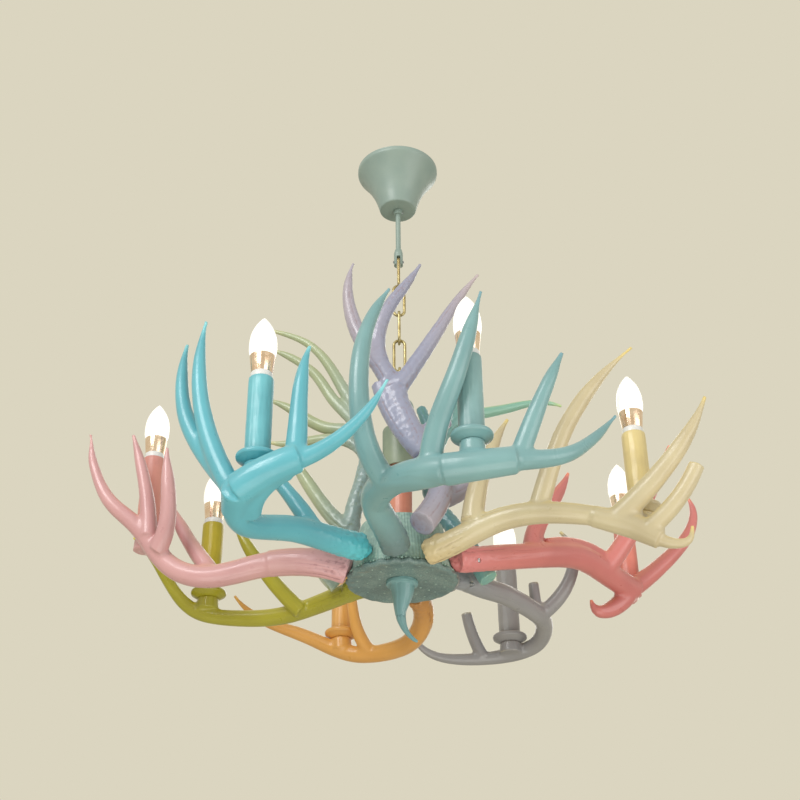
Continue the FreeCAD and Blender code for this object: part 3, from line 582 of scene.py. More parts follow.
class Skin:
    """The points, normals and edges of a remeshed piece, for shaping it point by point."""

    def __init__(self, piece: Piece) -> None:
        """Reads the mesh.

        Args:
            piece: The piece, with its modifiers applied.
        """
        self.mesh = piece.data
        count = len(self.mesh.vertices)
        flat = np.empty(count * 3)
        self.mesh.vertices.foreach_get("co", flat)
        self.points = flat.reshape(-1, 3)
        pairs = np.empty(len(self.mesh.edges) * 2, dtype=np.int64)
        self.mesh.edges.foreach_get("vertices", pairs)
        ends = pairs.reshape(-1, 2)
        self.start = np.concatenate((ends[:, 0], ends[:, 1]))
        self.end = np.concatenate((ends[:, 1], ends[:, 0]))
        self.count = count
        self.degree = np.maximum(np.bincount(self.start, minlength=count), 1)

    def mean(self, values: np.ndarray) -> np.ndarray:
        """Returns each point's mean over its neighbours."""
        if values.ndim == 1:
            return np.bincount(self.start, values[self.end], self.count) / self.degree
        return np.stack([self.mean(values[:, k]) for k in range(values.shape[1])], axis=1)

    def normals(self) -> np.ndarray:
        """Returns the normals for the points as they are now."""
        self.store()
        flat = np.empty(self.count * 3)
        self.mesh.vertices.foreach_get("normal", flat)
        return flat.reshape(-1, 3)

    def relax(self, rounds: int) -> None:
        """Evens the surface, there and back, so that it doesn't shrink."""
        for step in range(rounds):
            share = 0.5 if step % 2 == 0 else -0.52
            self.points += share * (self.mean(self.points) - self.points)

    def fill_crotches(self, rounds: int) -> None:
        """Evens the surface, and fills the corner where a tine leaves its beam to a web."""
        self.relax(4)
        for _ in range(rounds):
            away = self.mean(self.points) - self.points
            lift = np.einsum("ij,ij->i", away, self.normals())
            share = np.where(lift > 0, 0.6, 0.02)
            self.points += away * share[:, None]
        self.relax(4)

    def flow(self, rounds: int) -> np.ndarray:
        """Returns the normals, evened out over the neighbours."""
        flow = self.normals()
        for _ in range(rounds):
            flow = 0.4 * flow + 0.6 * self.mean(flow)
        return flow

    def pattern(self, flow: np.ndarray, turns: float, length: float,
                shift: float = 0.0) -> np.ndarray:
        """Noise that runs along the tines, because it follows the way the surface faces.

        Args:
            flow: Normals, evened out.
            turns: How fine it is round a tine.
            length: How fast it changes along a tine, per metre.
            shift: Moves to another part of the noise.

        Returns:
            One value a point, about -0.6 to 0.6.
        """
        places = flow * turns + self.points * length + shift
        return np.fromiter((noise.noise(place) for place in places.tolist()), float, self.count)

    def tint(self, groove: np.ndarray, butt: np.ndarray, tip: np.ndarray) -> None:
        """Stores the points and the colour attribute "tone" that CastResin reads."""
        self.store()
        tone = self.mesh.attributes.new("tone", "FLOAT_COLOR", "POINT")
        values = np.stack((groove, butt, tip, np.ones(self.count)), axis=1)
        tone.data.foreach_set("color", values.ravel())

    def bend(self) -> np.ndarray:
        """Returns how tightly the surface bends at each point, in 1/m, evened out."""
        normals = self.normals()
        step = self.points[self.end] - self.points[self.start]
        turn = normals[self.end] - normals[self.start]
        rate = np.einsum("ij,ij->i", step, turn) / np.maximum((step ** 2).sum(1), 1e-12)
        value = np.bincount(self.start, rate, self.count) / self.degree
        for _ in range(25):
            value = 0.5 * value + 0.5 * self.mean(value)
        return value

    def store(self) -> None:
        """Writes the points back to the mesh."""
        self.mesh.vertices.foreach_set("co", self.points.ravel())
        self.mesh.update()


def voxel_copy(node: str, name: str, voxel: float) -> Piece:
    """Copies a CAD node into a new piece of even small faces, voxel millimetres wide."""
    piece = cad_copy(node, name)
    apply(piece, "REMESH", mode="VOXEL", voxel_size=voxel * MM, adaptivity=0.0)
    return piece


def shade_round(piece: Piece) -> None:
    """Turns the faces outwards and shades them smooth."""
    outward(piece)
    only(piece)
    bpy.ops.object.shade_smooth()


def step_share(value: np.ndarray, low: float, high: float) -> np.ndarray:
    """A smooth step from 0 at low to 1 at high."""
    share = np.clip((value - low) / (high - low), 0.0, 1.0)
    return share * share * (3 - 2 * share)


# ---- antlers


@dataclass(frozen=True)
class AntlerLook:
    """How one antler is painted, in screen colours, and how rough it is, in millimetres."""

    colour: str
    body: Screen
    # groove: the darker shade painted in the furrows and pits
    groove: Screen
    butt: Screen
    # tip: the thin ends' lighter, warmer tint, partly the bulbs' warm light painted on
    tip: Screen
    # top: painted light on faces that turn up
    top: Screen
    burr: float
    furrow: float
    voxel: float
    seed: int
    candle: Optional[Screen] = None


ANTLER_LOOKS: List[AntlerLook] = [
    AntlerLook("rose", (216, 166, 164), (168, 114, 118), (226, 172, 176), (232, 180, 176),
               (242, 178, 154), 0.9, 0.9, 1.6, 1, (232, 160, 144)),
    AntlerLook("turquoise", (104, 186, 198), (68, 136, 150), (96, 208, 218), (144, 218, 222),
               (130, 208, 214), 1.9, 0.8, 1.6, 2, (120, 196, 204)),
    AntlerLook("teal", (130, 172, 172), (82, 118, 122), (98, 108, 106), (126, 170, 178),
               (142, 186, 186), 2.0, 0.9, 1.6, 3, (142, 180, 178)),
    AntlerLook("lilac", (208, 188, 182), (154, 132, 136), (140, 152, 182), (214, 194, 188),
               (226, 200, 188), 0.6, 0.55, 1.6, 4),
    AntlerLook("cream", (212, 198, 160), (146, 120, 84), (222, 200, 148), (236, 212, 134),
               (236, 212, 138), 1.3, 1.35, 1.6, 5, (236, 216, 152)),
    AntlerLook("coral", (214, 128, 122), (156, 80, 82), (222, 136, 136), (246, 152, 122),
               (244, 152, 114), 1.2, 1.25, 1.6, 6, (232, 142, 124)),
    AntlerLook("pewter", (152, 150, 150), (104, 102, 106), (142, 146, 150), (228, 214, 152),
               (178, 166, 150), 1.1, 1.0, 1.5, 7, (162, 160, 158)),
    AntlerLook("amber", (222, 164, 84), (160, 102, 38), (176, 122, 66), (238, 186, 102),
               (240, 182, 98), 1.3, 1.0, 1.5, 8, (228, 172, 92)),
    AntlerLook("lime", (172, 166, 48), (116, 108, 28), (160, 158, 52), (228, 214, 66),
               (214, 202, 60), 0.9, 0.9, 1.5, 9, (200, 182, 48)),
    AntlerLook("sage", (180, 190, 150), (126, 138, 106), (138, 166, 172), (230, 220, 156),
               (212, 212, 156), 1.2, 0.9, 1.5, 10),
    AntlerLook("mint", (150, 202, 178), (104, 154, 138), (92, 142, 154), (208, 228, 160),
               (206, 226, 154), 1.1, 0.85, 1.5, 11),
]


@dataclass
class Antler:
    """One cast antler: soft webs at its tines, furrows along them and a rough butt."""

    look: AntlerLook
    butt_start: float = 70.0
    butt_end: float = 165.0
    bark_start: float = 90.0
    bark_end: float = 320.0
    beam_bend: float = 70.0
    tine_bend: float = 260.0
    furrow_turns: float = 3.4
    seed_step: float = 7.3
    webbing: int = 34
    blur: int = 6
    piece: Optional[Piece] = None

    @property
    def node(self) -> str:
        """The CAD node that it stands for."""
        return "antler_" + self.look.colour

    def build(self) -> None:
        """Remeshes a copy of the casting, then shapes its skin."""
        self.piece = voxel_copy(self.node, "painted_" + self.node, self.look.voxel)
        skin = Skin(self.piece)
        skin.fill_crotches(self.webbing)
        self.carve(skin)
        shade_round(self.piece)

    def carve(self, skin: Skin) -> None:
        """Cuts the furrows and the burr, and stores where they are, for the painted shade in the
        furrows and the burr's pits.

        Args:
            skin: The antler's surface.
        """
        normals = skin.normals()
        flow = skin.flow(self.blur)
        shift = self.look.seed * self.seed_step
        bend = skin.bend()
        reach = np.hypot(skin.points[:, 0], skin.points[:, 1]) / MM
        butt = 1.0 - step_share(reach, self.butt_start, self.butt_end)
        bark = 1.0 - step_share(reach, self.bark_start, self.bark_end)
        thin = step_share(bend, self.beam_bend, self.tine_bend)
        furrow = skin.pattern(flow, self.furrow_turns, 9.0, shift)
        fine = skin.pattern(flow, self.furrow_turns * 2.3, 16.0, shift)
        lumps = skin.pattern(flow, 0.0, 190.0, shift)
        cut = step_share(0.62 * furrow + 0.38 * fine, 0.02, 0.55)
        room = 1.0 - 0.75 * thin
        depth = self.look.furrow * room * (0.4 + 0.45 * bark + 0.35 * butt)
        rise = -depth * cut + self.look.burr * butt * lumps * 0.9
        skin.points += normals * (rise * MM)[:, None]
        skin.relax(1)
        # Painted shade: the furrows and the burr's pits are marked for the darker groove colour.
        pits = 0.5 * butt * (lumps < -0.15)
        groove_shade = np.clip(cut * (0.35 + 0.3 * bark + 0.35 * butt) * room + pits, 0, 1)
        skin.tint(groove_shade, butt, thin)

    def wax(self) -> Material:
        """Returns the satin coat of this antler's candle sleeve."""
        look = self.look
        tint = painted(*(look.candle or look.body))
        shade = mixed(tint, painted(*look.groove), 0.35)
        return SatinPaint(look.colour + "_candle_coat", tint, shade, gloss=0.4).make()

    def dress(self) -> Material:
        """Paints the piece and ties it to the chandelier's body.

        Returns:
            The paint, which the candle's pan takes too.
        """
        look = self.look
        shades = (look.body, look.groove, look.butt, look.tip, look.top)
        paint = CastResin(look.colour + "_resin_paint", *(painted(*s) for s in shades)).make()
        finish_piece(self.piece, paint, "chandelier", [self.node])
        return paint


# ---- candles


@dataclass
class CandleMaker:
    """Makes a candle's pan, sleeve and lamp once, and copies them to every antler."""

    sleeve_radius: float = 16.5
    sleeve_length: float = 116.0
    sleeve_bore: float = 14.9
    screw_depth: float = 25.0
    glass_foot: float = 33.8
    glass_height: float = 60.0
    glass_neck: float = 15.8
    glass_belly: float = 17.9
    belly_share: float = 0.2
    segments: int = 96
    pan: Optional[Piece] = None
    sleeve: Optional[Piece] = None
    lamp_parts: Dict[LampPart, Piece] = field(default_factory=dict)

    def build(self) -> None:
        """Makes the three patterns at the origin."""
        self.pan = self.make_pan()
        self.sleeve = self.make_sleeve()
        self.lamp_parts = self.make_lamp()

    def make_pan(self) -> Piece:
        """A saucer that flares to a rolled wall."""
        rings = [(5.4, 0.0), (15.2, 0.0), (16.0, 0.3), (18.6, 1.5), (21.6, 3.2), (24.0, 5.0)]
        rings += [(23.8 + 2.4 * math.cos(math.radians(a)), 8.4 + 3.5 * math.sin(math.radians(a)))
                  for a in range(-60, 151, 21)]
        rings += [(20.9, 7.6), (19.6, 5.0), (18.8, 3.5), (17.6, 3.0), (5.4, 3.0)]
        piece = turned("pan_pattern", rings, self.segments, closed_loop=True)
        smooth(piece, 60)
        return piece

    def make_sleeve(self) -> Piece:
        """A candle sleeve with a soft top edge and faint runs of wax."""
        top = self.sleeve_length
        outer = self.sleeve_radius
        rings = [(self.sleeve_bore, 0.0), (outer - 0.2, 0.0)]
        rings += [(outer - 0.35, top * step / 30.0) for step in range(1, 29)]
        rings += [(outer - 0.5, top - 1.6), (outer - 0.9, top - 0.6), (outer - 1.3, top - 0.1),
                  (self.sleeve_bore, top - 0.3), (self.sleeve_bore, top / 2)]
        piece = turned("sleeve_pattern", rings, self.segments * 2, closed_loop=True)

        def rise(x: float, y: float, z: float) -> float:
            """Long runs and short beads of wax, above the foot."""
            if z < 0.2 * MM:
                return 0.0
            angle = math.atan2(y, x)
            run = noise.noise((math.cos(angle) * 3.1, math.sin(angle) * 3.1, z * 9.0))
            bead = noise.noise((math.cos(angle) * 6.0, math.sin(angle) * 6.0, z * 60.0 + 4.0))
            return 0.45 * max(run, -0.3) + 0.2 * bead - 0.12

        swell(piece, outer - 1.0, rise)
        smooth(piece, 60)
        return piece

    def make_lamp(self) -> Dict[LampPart, Piece]:
        """The lamp's screw base, collar, faceted trim and glass, each its own piece."""
        end = -self.screw_depth
        thread = [(0.0, end), (2.4, end), (2.6, end + 1.4), (6.2, end + 2.4)]
        for turn in range(6):
            low = end + 3.0 + turn * 3.2
            thread += [(6.2, low), (6.75, low + 1.0), (6.75, low + 1.6), (6.2, low + 2.6)]
        thread += [(6.4, -1.5), (6.4, -0.2), (0.0, -0.2)]
        collar = [(0.0, 0.0), (13.2, 0.0), (13.9, 0.8), (13.9, 8.0), (13.4, 9.2), (0.0, 9.2)]
        trim = [(13.2, 9.0), (13.6, 9.2), (16.3, 33.0), (16.4, 34.0), (15.9, 34.6),
                (15.2, 34.0), (12.8, 9.4)]
        glass = [(0.0, 31.0), (15.1, 31.0), (self.glass_neck, self.glass_foot)]
        glass += [(self.glass_radius(step / 24.0), self.glass_foot + self.glass_height * step / 24.0)
                  for step in range(1, 24)]
        glass.append((0.0, self.glass_foot + self.glass_height))
        made = {
            LampPart.BASE: turned("lamp_base_pattern", thread, 32),
            LampPart.COLLAR: turned("lamp_collar_pattern", collar, 64),
            LampPart.TRIM: turned("lamp_trim_pattern", trim, 20, closed_loop=True),
            LampPart.GLASS: turned("lamp_glass_pattern", glass, 64),
        }
        apply(made[LampPart.TRIM], "BEVEL", width=0.35 * MM, segments=2, limit_method="ANGLE",
              angle_limit=math.radians(12))
        for part, degrees in ((LampPart.BASE, 40), (LampPart.COLLAR, 40), (LampPart.TRIM, 14),
                              (LampPart.GLASS, 50)):
            smooth(made[part], degrees)
        return made

    def glass_radius(self, share: float) -> float:
        """The flame's radius at a share of its height: out to the belly, then in to the tip."""
        if share < self.belly_share:
            opened = math.sin(math.pi / 2 * share / self.belly_share)
            return self.glass_neck + (self.glass_belly - self.glass_neck) * opened
        fall = (share - self.belly_share) / (1.0 - self.belly_share)
        return self.glass_belly * math.cos(math.pi / 2 * fall ** 1.35) ** 0.9

    def place(self, colour: str, paint: Material, wax: Material,
              finishes: Dict[LampPart, Material]) -> None:
        """Sets one candle on its antler.

        Args:
            colour: The antler's name.
            paint: The antler's paint, for the pan.
            wax: The sleeve's coat.
            finishes: Materials of the lamp's parts.
        """
        low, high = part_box("candle_pan_" + colour)
        foot = Vector(((low[0] + high[0]) / 2, (low[1] + high[1]) / 2, low[2]))
        pan = placed_copy(self.pan, "pan_" + colour, tuple(foot))
        finish_piece(pan, paint, "chandelier", ["candle_pan_" + colour])
        foot.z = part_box("candle_sleeve_" + colour)[0][2]
        sleeve = placed_copy(self.sleeve, "sleeve_" + colour, tuple(foot))
        finish_piece(sleeve, wax, "chandelier", ["candle_sleeve_" + colour])
        foot.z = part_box("bulb_" + colour)[0][2] + self.screw_depth * MM
        for part, pattern in self.lamp_parts.items():
            piece = placed_copy(pattern, "lamp_%s_%s" % (part.value, colour), tuple(foot))
            finish_piece(piece, finishes[part], "bulb_body_" + colour,
                         ["bulb_" + colour])

    def clear(self) -> None:
        """Removes the patterns."""
        for pattern in (self.pan, self.sleeve, *self.lamp_parts.values()):
            bpy.data.objects.remove(pattern)


# ---- hub


@dataclass
class Hub:
    """The ribbed hub, its beads, the scalloped dish with its studs, and the finial."""

    foot_radius: float = 73.0
    top_radius: float = 58.0
    height: float = 75.0
    ribs: int = 96
    bore: float = 4.2
    beads: int = 84
    dish_radius: float = 78.0
    dish_wall: float = 3.0
    dish_bore: float = 4.4
    flat_radius: float = 52.0
    scallops: int = 22
    stud_circles: Tuple[Tuple[float, int], ...] = ((32.0, 9), (47.0, 13), (60.0, 17))
    seam_drop: float = 50.0

    def build(self) -> None:
        """Builds and dresses the hub's pieces."""
        self.shell()
        self.dish()
        self.horn()

    def shell(self) -> None:
        """A tapered drum with fine ribs and a row of beads round its foot."""
        foot, _ = levels("hub_body")
        steps = 14
        rings = [(self.bore, foot)]
        for step in range(steps + 1):
            share = step / steps
            radius = self.foot_radius + (self.top_radius - self.foot_radius) * share
            edge = 0.9 if step in (0, steps) else 0.15
            rings.append((radius - edge, foot + self.height * share))
        rings.append((self.bore, foot + self.height))
        piece = turned("hub_shell", rings, self.ribs * 4, closed_loop=True)

        def rise(x: float, y: float, z: float) -> float:
            """Ribs that wander a little, and a crust towards the foot."""
            height = (z / MM - foot) / self.height
            wander = noise.noise((x * 30, y * 30, z * 12))
            rib = 0.5 - 0.5 * math.cos(math.atan2(y, x) * self.ribs + wander * 1.4)
            crust = noise.noise((x * 260, y * 260, z * 260)) * max(0.0, 1 - height * 4.0)
            return -(0.75 * rib - 0.5 * crust + 0.3)

        swell(piece, self.top_radius - 8.0, rise)
        smooth(piece, 70)
        beads = self.bead_string(foot)
        paint = HammeredPaint("ribbed_hub_paint", painted(158, 190, 178), painted(120, 152, 144),
                              painted(184, 212, 196), 180.0).make()
        finish_piece(piece, paint, "chandelier", ["hub_body"])
        finish_piece(beads, paint, "chandelier", ["hub_body"])

    def bead_string(self, foot: float) -> Piece:
        """A string of small uneven beads where the hub meets the dish.

        Args:
            foot: The hub's lowest level, in millimetres.

        Returns:
            The string, as one piece.
        """
        dots = []
        for index in range(self.beads):
            angle = math.tau * index / self.beads
            wave = 0.9 * noise.noise((math.cos(angle) * 6, math.sin(angle) * 6, 0.0))
            dots.append(Dot(angle, self.foot_radius - 0.2, foot + 2.6 + 1.2 * wave,
                            1.9 + 0.5 * wave))
        return joined_dots("hub_beads", dots, 10, 7, 0.8)

    def dish(self) -> None:
        """A shallow dish with a wavy rolled edge and scattered raised studs below."""
        _, top = levels("hub_dish")
        rim, bore = self.dish_radius, self.dish_bore
        under = top - self.dish_wall
        rings = [(bore, under), (20.0, under), (40.0, under - 0.2), (56.0, under - 0.6),
                 (64.0, under - 1.6), (70.0, under - 3.2), (rim - 4.5, under - 3.9),
                 (rim - 2.0, under - 3.4), (rim - 0.7, under - 1.6), (rim - 0.4, under + 0.6),
                 (rim - 1.0, top - 0.9), (rim - 2.6, top - 0.2), (60.0, top), (bore, top)]
        piece = turned("scalloped_dish", rings, self.scallops * 16, closed_loop=True)
        for vertex in piece.data.vertices:
            x, y, z = vertex.co
            radius = math.hypot(x, y) / MM
            angle = math.atan2(y, x)
            edge = max(0.0, (radius - self.flat_radius) / (rim - self.flat_radius))
            wave = math.cos(angle * self.scallops + 2.2 * noise.noise((x * 14, y * 14, 3.0)))
            ruffle = noise.noise((x * 75, y * 75, 5.0))
            share = 1.0 - edge * (1.5 - 1.1 * wave + 0.9 * abs(ruffle)) / max(radius, 1.0)
            vertex.co.x *= share
            vertex.co.y *= share
            if z < (top - 0.5) * MM:
                vertex.co.z += edge * (0.9 + 0.8 * wave * edge + 0.7 * ruffle) * MM
        smooth(piece, 70)
        studs = self.studs(under)
        paint = HammeredPaint("dish_paint", painted(112, 136, 132), painted(90, 112, 112),
                              painted(140, 160, 152), 420.0).make()
        finish_piece(piece, paint, "chandelier", ["hub_dish"])
        stud_paint = SatinPaint("dish_stud_paint", painted(156, 180, 168), painted(124, 150, 142),
                                gloss=0.4).make()
        finish_piece(studs, stud_paint, "chandelier", ["hub_dish"])

    def studs(self, under: float) -> Piece:
        """Small raised dots on uneven circles under the dish.

        Args:
            under: The level of the dish's underside, in millimetres.

        Returns:
            The studs, as one piece.
        """
        dots = []
        for circle, (radius, count) in enumerate(self.stud_circles):
            drop = 0.7 if radius > self.flat_radius else 0.2
            for index in range(count):
                angle = math.tau * (index + 0.4 * circle) / count
                shift = noise.noise((radius, index * 1.7, circle * 3.1))
                dots.append(Dot(angle, radius + 4.0 * shift, under - drop, 1.5 + 0.7 * shift))
        return joined_dots("dish_studs", dots, 12, 8, 0.55)

    def horn(self) -> None:
        """The finial: a collar with a groove and a curled horn with soft furrows."""
        piece = voxel_copy("finial", "curled_finial", 0.8)
        skin = Skin(piece)
        skin.fill_crotches(24)
        normals = skin.normals()
        line = skin.pattern(skin.flow(8), 2.6, 12.0)
        _, top = levels("finial")
        down = top - skin.points[:, 2] / MM
        seam = np.exp(-((down - self.seam_drop - 2.0 * line) / 0.9) ** 2)
        cut = step_share(line, 0.0, 0.5)
        skin.points -= normals * ((0.45 * cut + 0.5 * seam) * MM)[:, None]
        # Painted shade in the furrows and the seam; the lower horn takes a share of the tip colour.
        skin.tint(np.clip(0.5 * cut + seam, 0, 1), np.zeros(skin.count),
                  0.3 * step_share(down, 45, 84))
        shade_round(piece)
        # Its top colour is painted light on the faces that turn up.
        paint = CastResin("finial_paint", painted(122, 164, 164), painted(84, 118, 120),
                          painted(122, 164, 164), painted(128, 172, 182),
                          painted(138, 176, 170)).make()
        finish_piece(piece, paint, "chandelier", ["finial"])


# ---- hanger


@dataclass
class Hanger:
    """Canopy, cup, pipe and the small metal parts of the suspension."""

    canopy_radius: float = 65.0
    canopy_height: float = 82.0
    floor_radius: float = 29.0
    canopy_sag: float = 5.3
    wall: float = 1.2
    lip: float = 7.0
    pipe_radius: float = 15.8
    pipe_bore: float = 14.6

    def build(self) -> None:
        """Builds the turned pieces and paints the CAD nodes that stay."""
        sage = SatinPaint("canopy_sage_paint", painted(150, 168, 158), painted(138, 158, 150),
                          gloss=0.42, rings=900.0).make()
        self.canopy(sage)
        self.cup(sage)
        self.pipe()
        self.small_parts(sage)

    def side(self, offset: float) -> List[Tuple[float, float]]:
        """Points on the bell's side, from its floor to its band.

        Args:
            offset: How far inside the outer face.

        Returns:
            (radius, height) in millimetres.
        """
        run = self.canopy_radius - self.floor_radius
        rise = self.canopy_height - self.lip
        slant = math.hypot(run, rise)
        points = []
        for step in range(1, 12):
            share = step / 12.0
            sag = self.canopy_sag * (1 - (2 * share - 1) ** 2)
            points.append((self.floor_radius + run * share - offset - sag * rise / slant,
                           -self.canopy_height + rise * share + sag * run / slant))
        return points

    def canopy(self, paint: Material) -> None:
        """A spun bell with a soft edge at its floor and a rolled rim."""
        bottom = -self.canopy_height
        outer, wall = self.canopy_radius, self.wall
        rings = [(4.4, bottom + 0.1), (self.floor_radius - 2.0, bottom + 0.1),
                 (self.floor_radius - 0.8, bottom + 0.5), (self.floor_radius + 0.1, bottom + 1.6)]
        rings += self.side(0.1)
        rings += [(outer - 0.5, -self.lip - 0.5), (outer - 0.1, -self.lip + 1.2),
                  (outer - 0.1, -2.6), (outer - 0.5, -1.2), (outer - 0.1, -0.7), (outer - 0.3, 0.0),
                  (outer - wall, 0.0), (outer - wall, -self.lip)]
        rings += list(reversed(self.side(wall + 0.1)))
        rings += [(self.floor_radius - wall, bottom + wall), (4.4, bottom + wall)]
        piece = turned("bell_canopy", rings, 160, closed_loop=True)
        apply(piece, "SUBSURF", levels=1, render_levels=1)
        smooth(piece, 60)
        finish_piece(piece, paint, "canopy_set", ["canopy"])

    def cup(self, paint: Material) -> None:
        """The cup over the pipe, with a rounded top and a rolled lower edge."""
        foot, top = levels("column_cap")
        rings = [(24.1, foot), (25.4, foot + 0.1), (25.9, foot + 0.8), (25.5, foot + 2.2),
                 (25.8, foot + 3.4), (25.9, foot + 12.0), (25.9, top - 12.0), (25.9, top - 3.4),
                 (25.2, top - 1.5), (23.6, top - 0.3), (21.0, top), (9.5, top), (4.5, top),
                 (4.5, top - 2.0), (22.5, top - 2.0), (24.0, top - 3.4), (24.1, foot + 20.0)]
        piece = turned("column_cup", rings, 128, closed_loop=True)
        smooth(piece, 50)
        dark = SatinPaint("cup_sage_paint", painted(146, 158, 132), painted(116, 134, 118),
                          gloss=0.45, rings=700.0).make()
        finish_piece(piece, dark, "chandelier", ["column_cap"])

    def pipe(self) -> None:
        """The pipe between hub and cup, cast with a soft vertical grain."""
        foot, top = levels("column_pipe")
        bore, outer = self.pipe_bore, self.pipe_radius
        steps = 40
        rings = [(bore, foot)]
        rings += [(outer, foot + (top - foot) * step / steps) for step in range(steps + 1)]
        rings += [(bore, top)]
        piece = turned("salmon_pipe", rings, 128, closed_loop=True)
        swell(piece, (bore + outer) / 2,
              lambda x, y, z: 0.30 * noise.noise((x * 260, y * 260, z * 10)) - 0.12)
        smooth(piece, 60)
        paint = SatinPaint("salmon_pipe_paint", painted(240, 156, 128), painted(214, 124, 102),
                           gloss=0.36).make()
        finish_piece(piece, paint, "chandelier", ["column_pipe"])

    def small_parts(self, sage: Material) -> None:
        """Gives every CAD node that shows, or lies hidden, its own material."""
        brass = BareMetal("pale_brass", painted(198, 186, 140), painted(150, 130, 84), 0.34).make()
        steel = BareMetal("zinc_steel", painted(186, 188, 190), painted(140, 142, 146), 0.34).make()
        nylon = MouldedPlastic("terminal_nylon", painted(226, 222, 206),
                               painted(200, 196, 180)).make()
        holder = MouldedPlastic("lampholder_plastic", painted(238, 234, 224),
                                painted(214, 210, 200), 0.35).make()
        links = {"chain_link_%d" % (index + 1): brass for index in range(5)}
        nodes = {"ceiling_bracket": steel, "rod_nuts": steel, "terminal_block": nylon,
                 "canopy_collar": sage, "collar_set_screw": steel, "hanger_rod": sage,
                 "rod_fork": sage, "fork_pin": steel, "top_loop": sage, "loop_lock_nut": sage,
                 "tie_rod": steel, "antler_studs": steel, "candle_nipples": steel,
                 "lampholders": holder, **links}
        for node, material in nodes.items():
            repaint(node, material)


def repaint(node: str, material: Material) -> None:
    """Gives a shown CAD node a better material."""
    mesh = frame["nodes"][node].data
    if not mesh.materials:
        mesh.materials.append(material)
    for index in range(len(mesh.materials)):
        mesh.materials[index] = material
    log.info("%s: CAD node painted", node)


# ---- studio


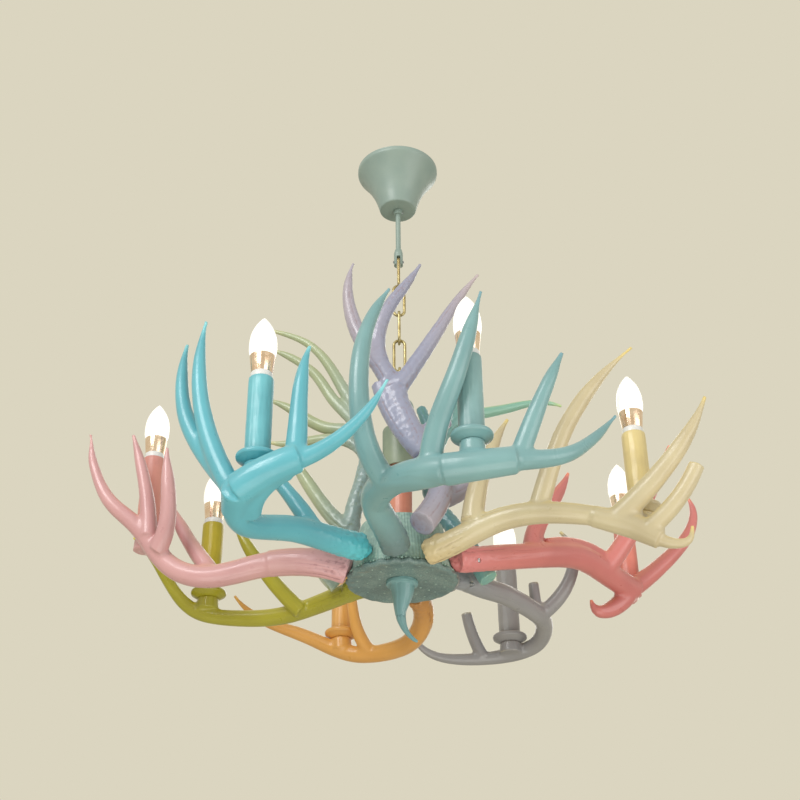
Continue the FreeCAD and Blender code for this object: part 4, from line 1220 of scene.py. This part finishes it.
@dataclass
class Studio:
    """Camera, lamps, floor and the plain pale background."""

    eye: Tuple[float, float, float] = (0.0, -1.5928, -1.3658)
    pitch: float = 30.284
    roll: float = 0.63
    lens: float = 56.25
    backdrop: Colour = painted(219, 213, 192)

    def camera(self) -> None:
        """Sets the camera where the photograph was taken from."""
        pitch, roll = math.radians(self.pitch), math.radians(self.roll)
        right = Vector((1, 0, 0))
        above = Vector((0, -math.sin(pitch), math.cos(pitch)))
        ahead = Vector((0, math.cos(pitch), math.sin(pitch)))
        side = right * math.cos(roll) - above * math.sin(roll)
        head = right * math.sin(roll) + above * math.cos(roll)
        data = bpy.data.cameras.new("camera")
        data.lens = self.lens
        data.sensor_width = 36.0
        camera = bpy.data.objects.new("camera", data)
        matrix = Matrix((side, head, -ahead)).transposed().to_4x4()
        matrix.translation = Vector(self.eye)
        camera.matrix_world = matrix
        bpy.context.scene.collection.objects.link(camera)
        bpy.context.scene.camera = camera

    def lamp(self, name: str, place: Tuple[float, float, float], size: float,
             power: float) -> None:
        """Adds a large soft lamp that points at the chandelier.

        Args:
            name: The lamp's name.
            place: Where it stands, in metres.
            size: The side of its square.
            power: Watts.
        """
        data = bpy.data.lights.new(name, "AREA")
        data.size = size
        data.energy = power
        lamp = bpy.data.objects.new(name, data)
        lamp.location = place
        lamp.rotation_euler = (Vector((0, 0, -0.55)) - Vector(place)).to_track_quat(
            "-Z", "Y").to_euler()
        bpy.context.scene.collection.objects.link(lamp)

    def world(self) -> None:
        """A plain world: soft light on the object, and the backdrop's colour to the camera."""
        world = bpy.data.worlds.new("studio")
        world.use_nodes = True
        tree = world.node_tree
        soft = tree.nodes["Background"]
        soft.inputs["Color"].default_value = (1.0, 0.985, 0.96, 1.0)
        soft.inputs["Strength"].default_value = 0.42
        seen = tree.nodes.new("ShaderNodeBackground")
        seen.inputs["Color"].default_value = (*self.backdrop, 1.0)
        path = tree.nodes.new("ShaderNodeLightPath")
        mix = tree.nodes.new("ShaderNodeMixShader")
        seen_by = path.outputs["Is Camera Ray"]
        for ray in ("Is Glossy Ray", "Is Transmission Ray"):
            either = tree.nodes.new("ShaderNodeMath")
            either.operation = "MAXIMUM"
            tree.links.new(seen_by, either.inputs[0])
            tree.links.new(path.outputs[ray], either.inputs[1])
            seen_by = either.outputs[0]
        tree.links.new(seen_by, mix.inputs[0])
        tree.links.new(soft.outputs[0], mix.inputs[1])
        tree.links.new(seen.outputs[0], mix.inputs[2])
        tree.links.new(mix.outputs[0], tree.nodes["World Output"].inputs["Surface"])
        bpy.context.scene.world = world

    def floor(self) -> None:
        """A plain pale floor far below the chandelier."""
        bpy.ops.object.select_all(action="DESELECT")
        bpy.ops.mesh.primitive_plane_add(size=30.0, location=(0, 0, -2.3))
        plane = bpy.context.active_object
        plane.name = "floor"
        sheet = NodeSheet("pale_floor")
        sheet.clouded(sheet.grain(1.5), 0.4, 0.6, 0.3, self.backdrop,
                      mixed(self.backdrop, (1, 1, 1), 0.1))
        sheet.set(Roughness=0.9)
        plane.data.materials.append(sheet.material)

    def build(self) -> None:
        """Sets up the whole studio."""
        self.camera()
        self.world()
        self.floor()
        self.lamp("key", (-1.6, -2.4, 0.9), 1.6, 60.0)
        self.lamp("fill", (2.2, -1.8, -0.9), 2.0, 26.0)
        self.lamp("under", (0.0, -0.9, -2.1), 1.8, 16.0)
        self.lamp("back", (0.6, 2.4, 0.6), 1.6, 14.0)
        bpy.context.scene.view_settings.view_transform = "Standard"


def main() -> None:
    """Builds the chandelier's looks, piece by piece."""
    logging.basicConfig(level=logging.INFO, format="%(name)s %(message)s")
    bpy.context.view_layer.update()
    Studio().build()
    candles = CandleMaker()
    candles.build()
    finishes = {
        LampPart.BASE: BareMetal("lamp_screw_metal", painted(196, 190, 176),
                                 painted(150, 140, 120)).make(),
        LampPart.COLLAR: MouldedPlastic("lamp_collar_white", painted(240, 240, 236),
                                        painted(222, 222, 216), 0.3).make(),
        LampPart.TRIM: BareMetal("lamp_trim_rose_gold", painted(246, 224, 202),
                                 painted(236, 206, 180), 0.18).make(),
        LampPart.GLASS: OpalGlass("opal_lamp_glass", painted(250, 250, 246),
                                  painted(252, 240, 200), 0.55).make(),
    }
    for look in ANTLER_LOOKS:
        antler = Antler(look)
        antler.build()
        paint = antler.dress()
        if "candle_pan_" + look.colour in frame["nodes"]:
            candles.place(look.colour, paint, antler.wax(), finishes)
    candles.clear()
    Hub().build()
    Hanger().build()


if __name__ == "__main__":
    main()
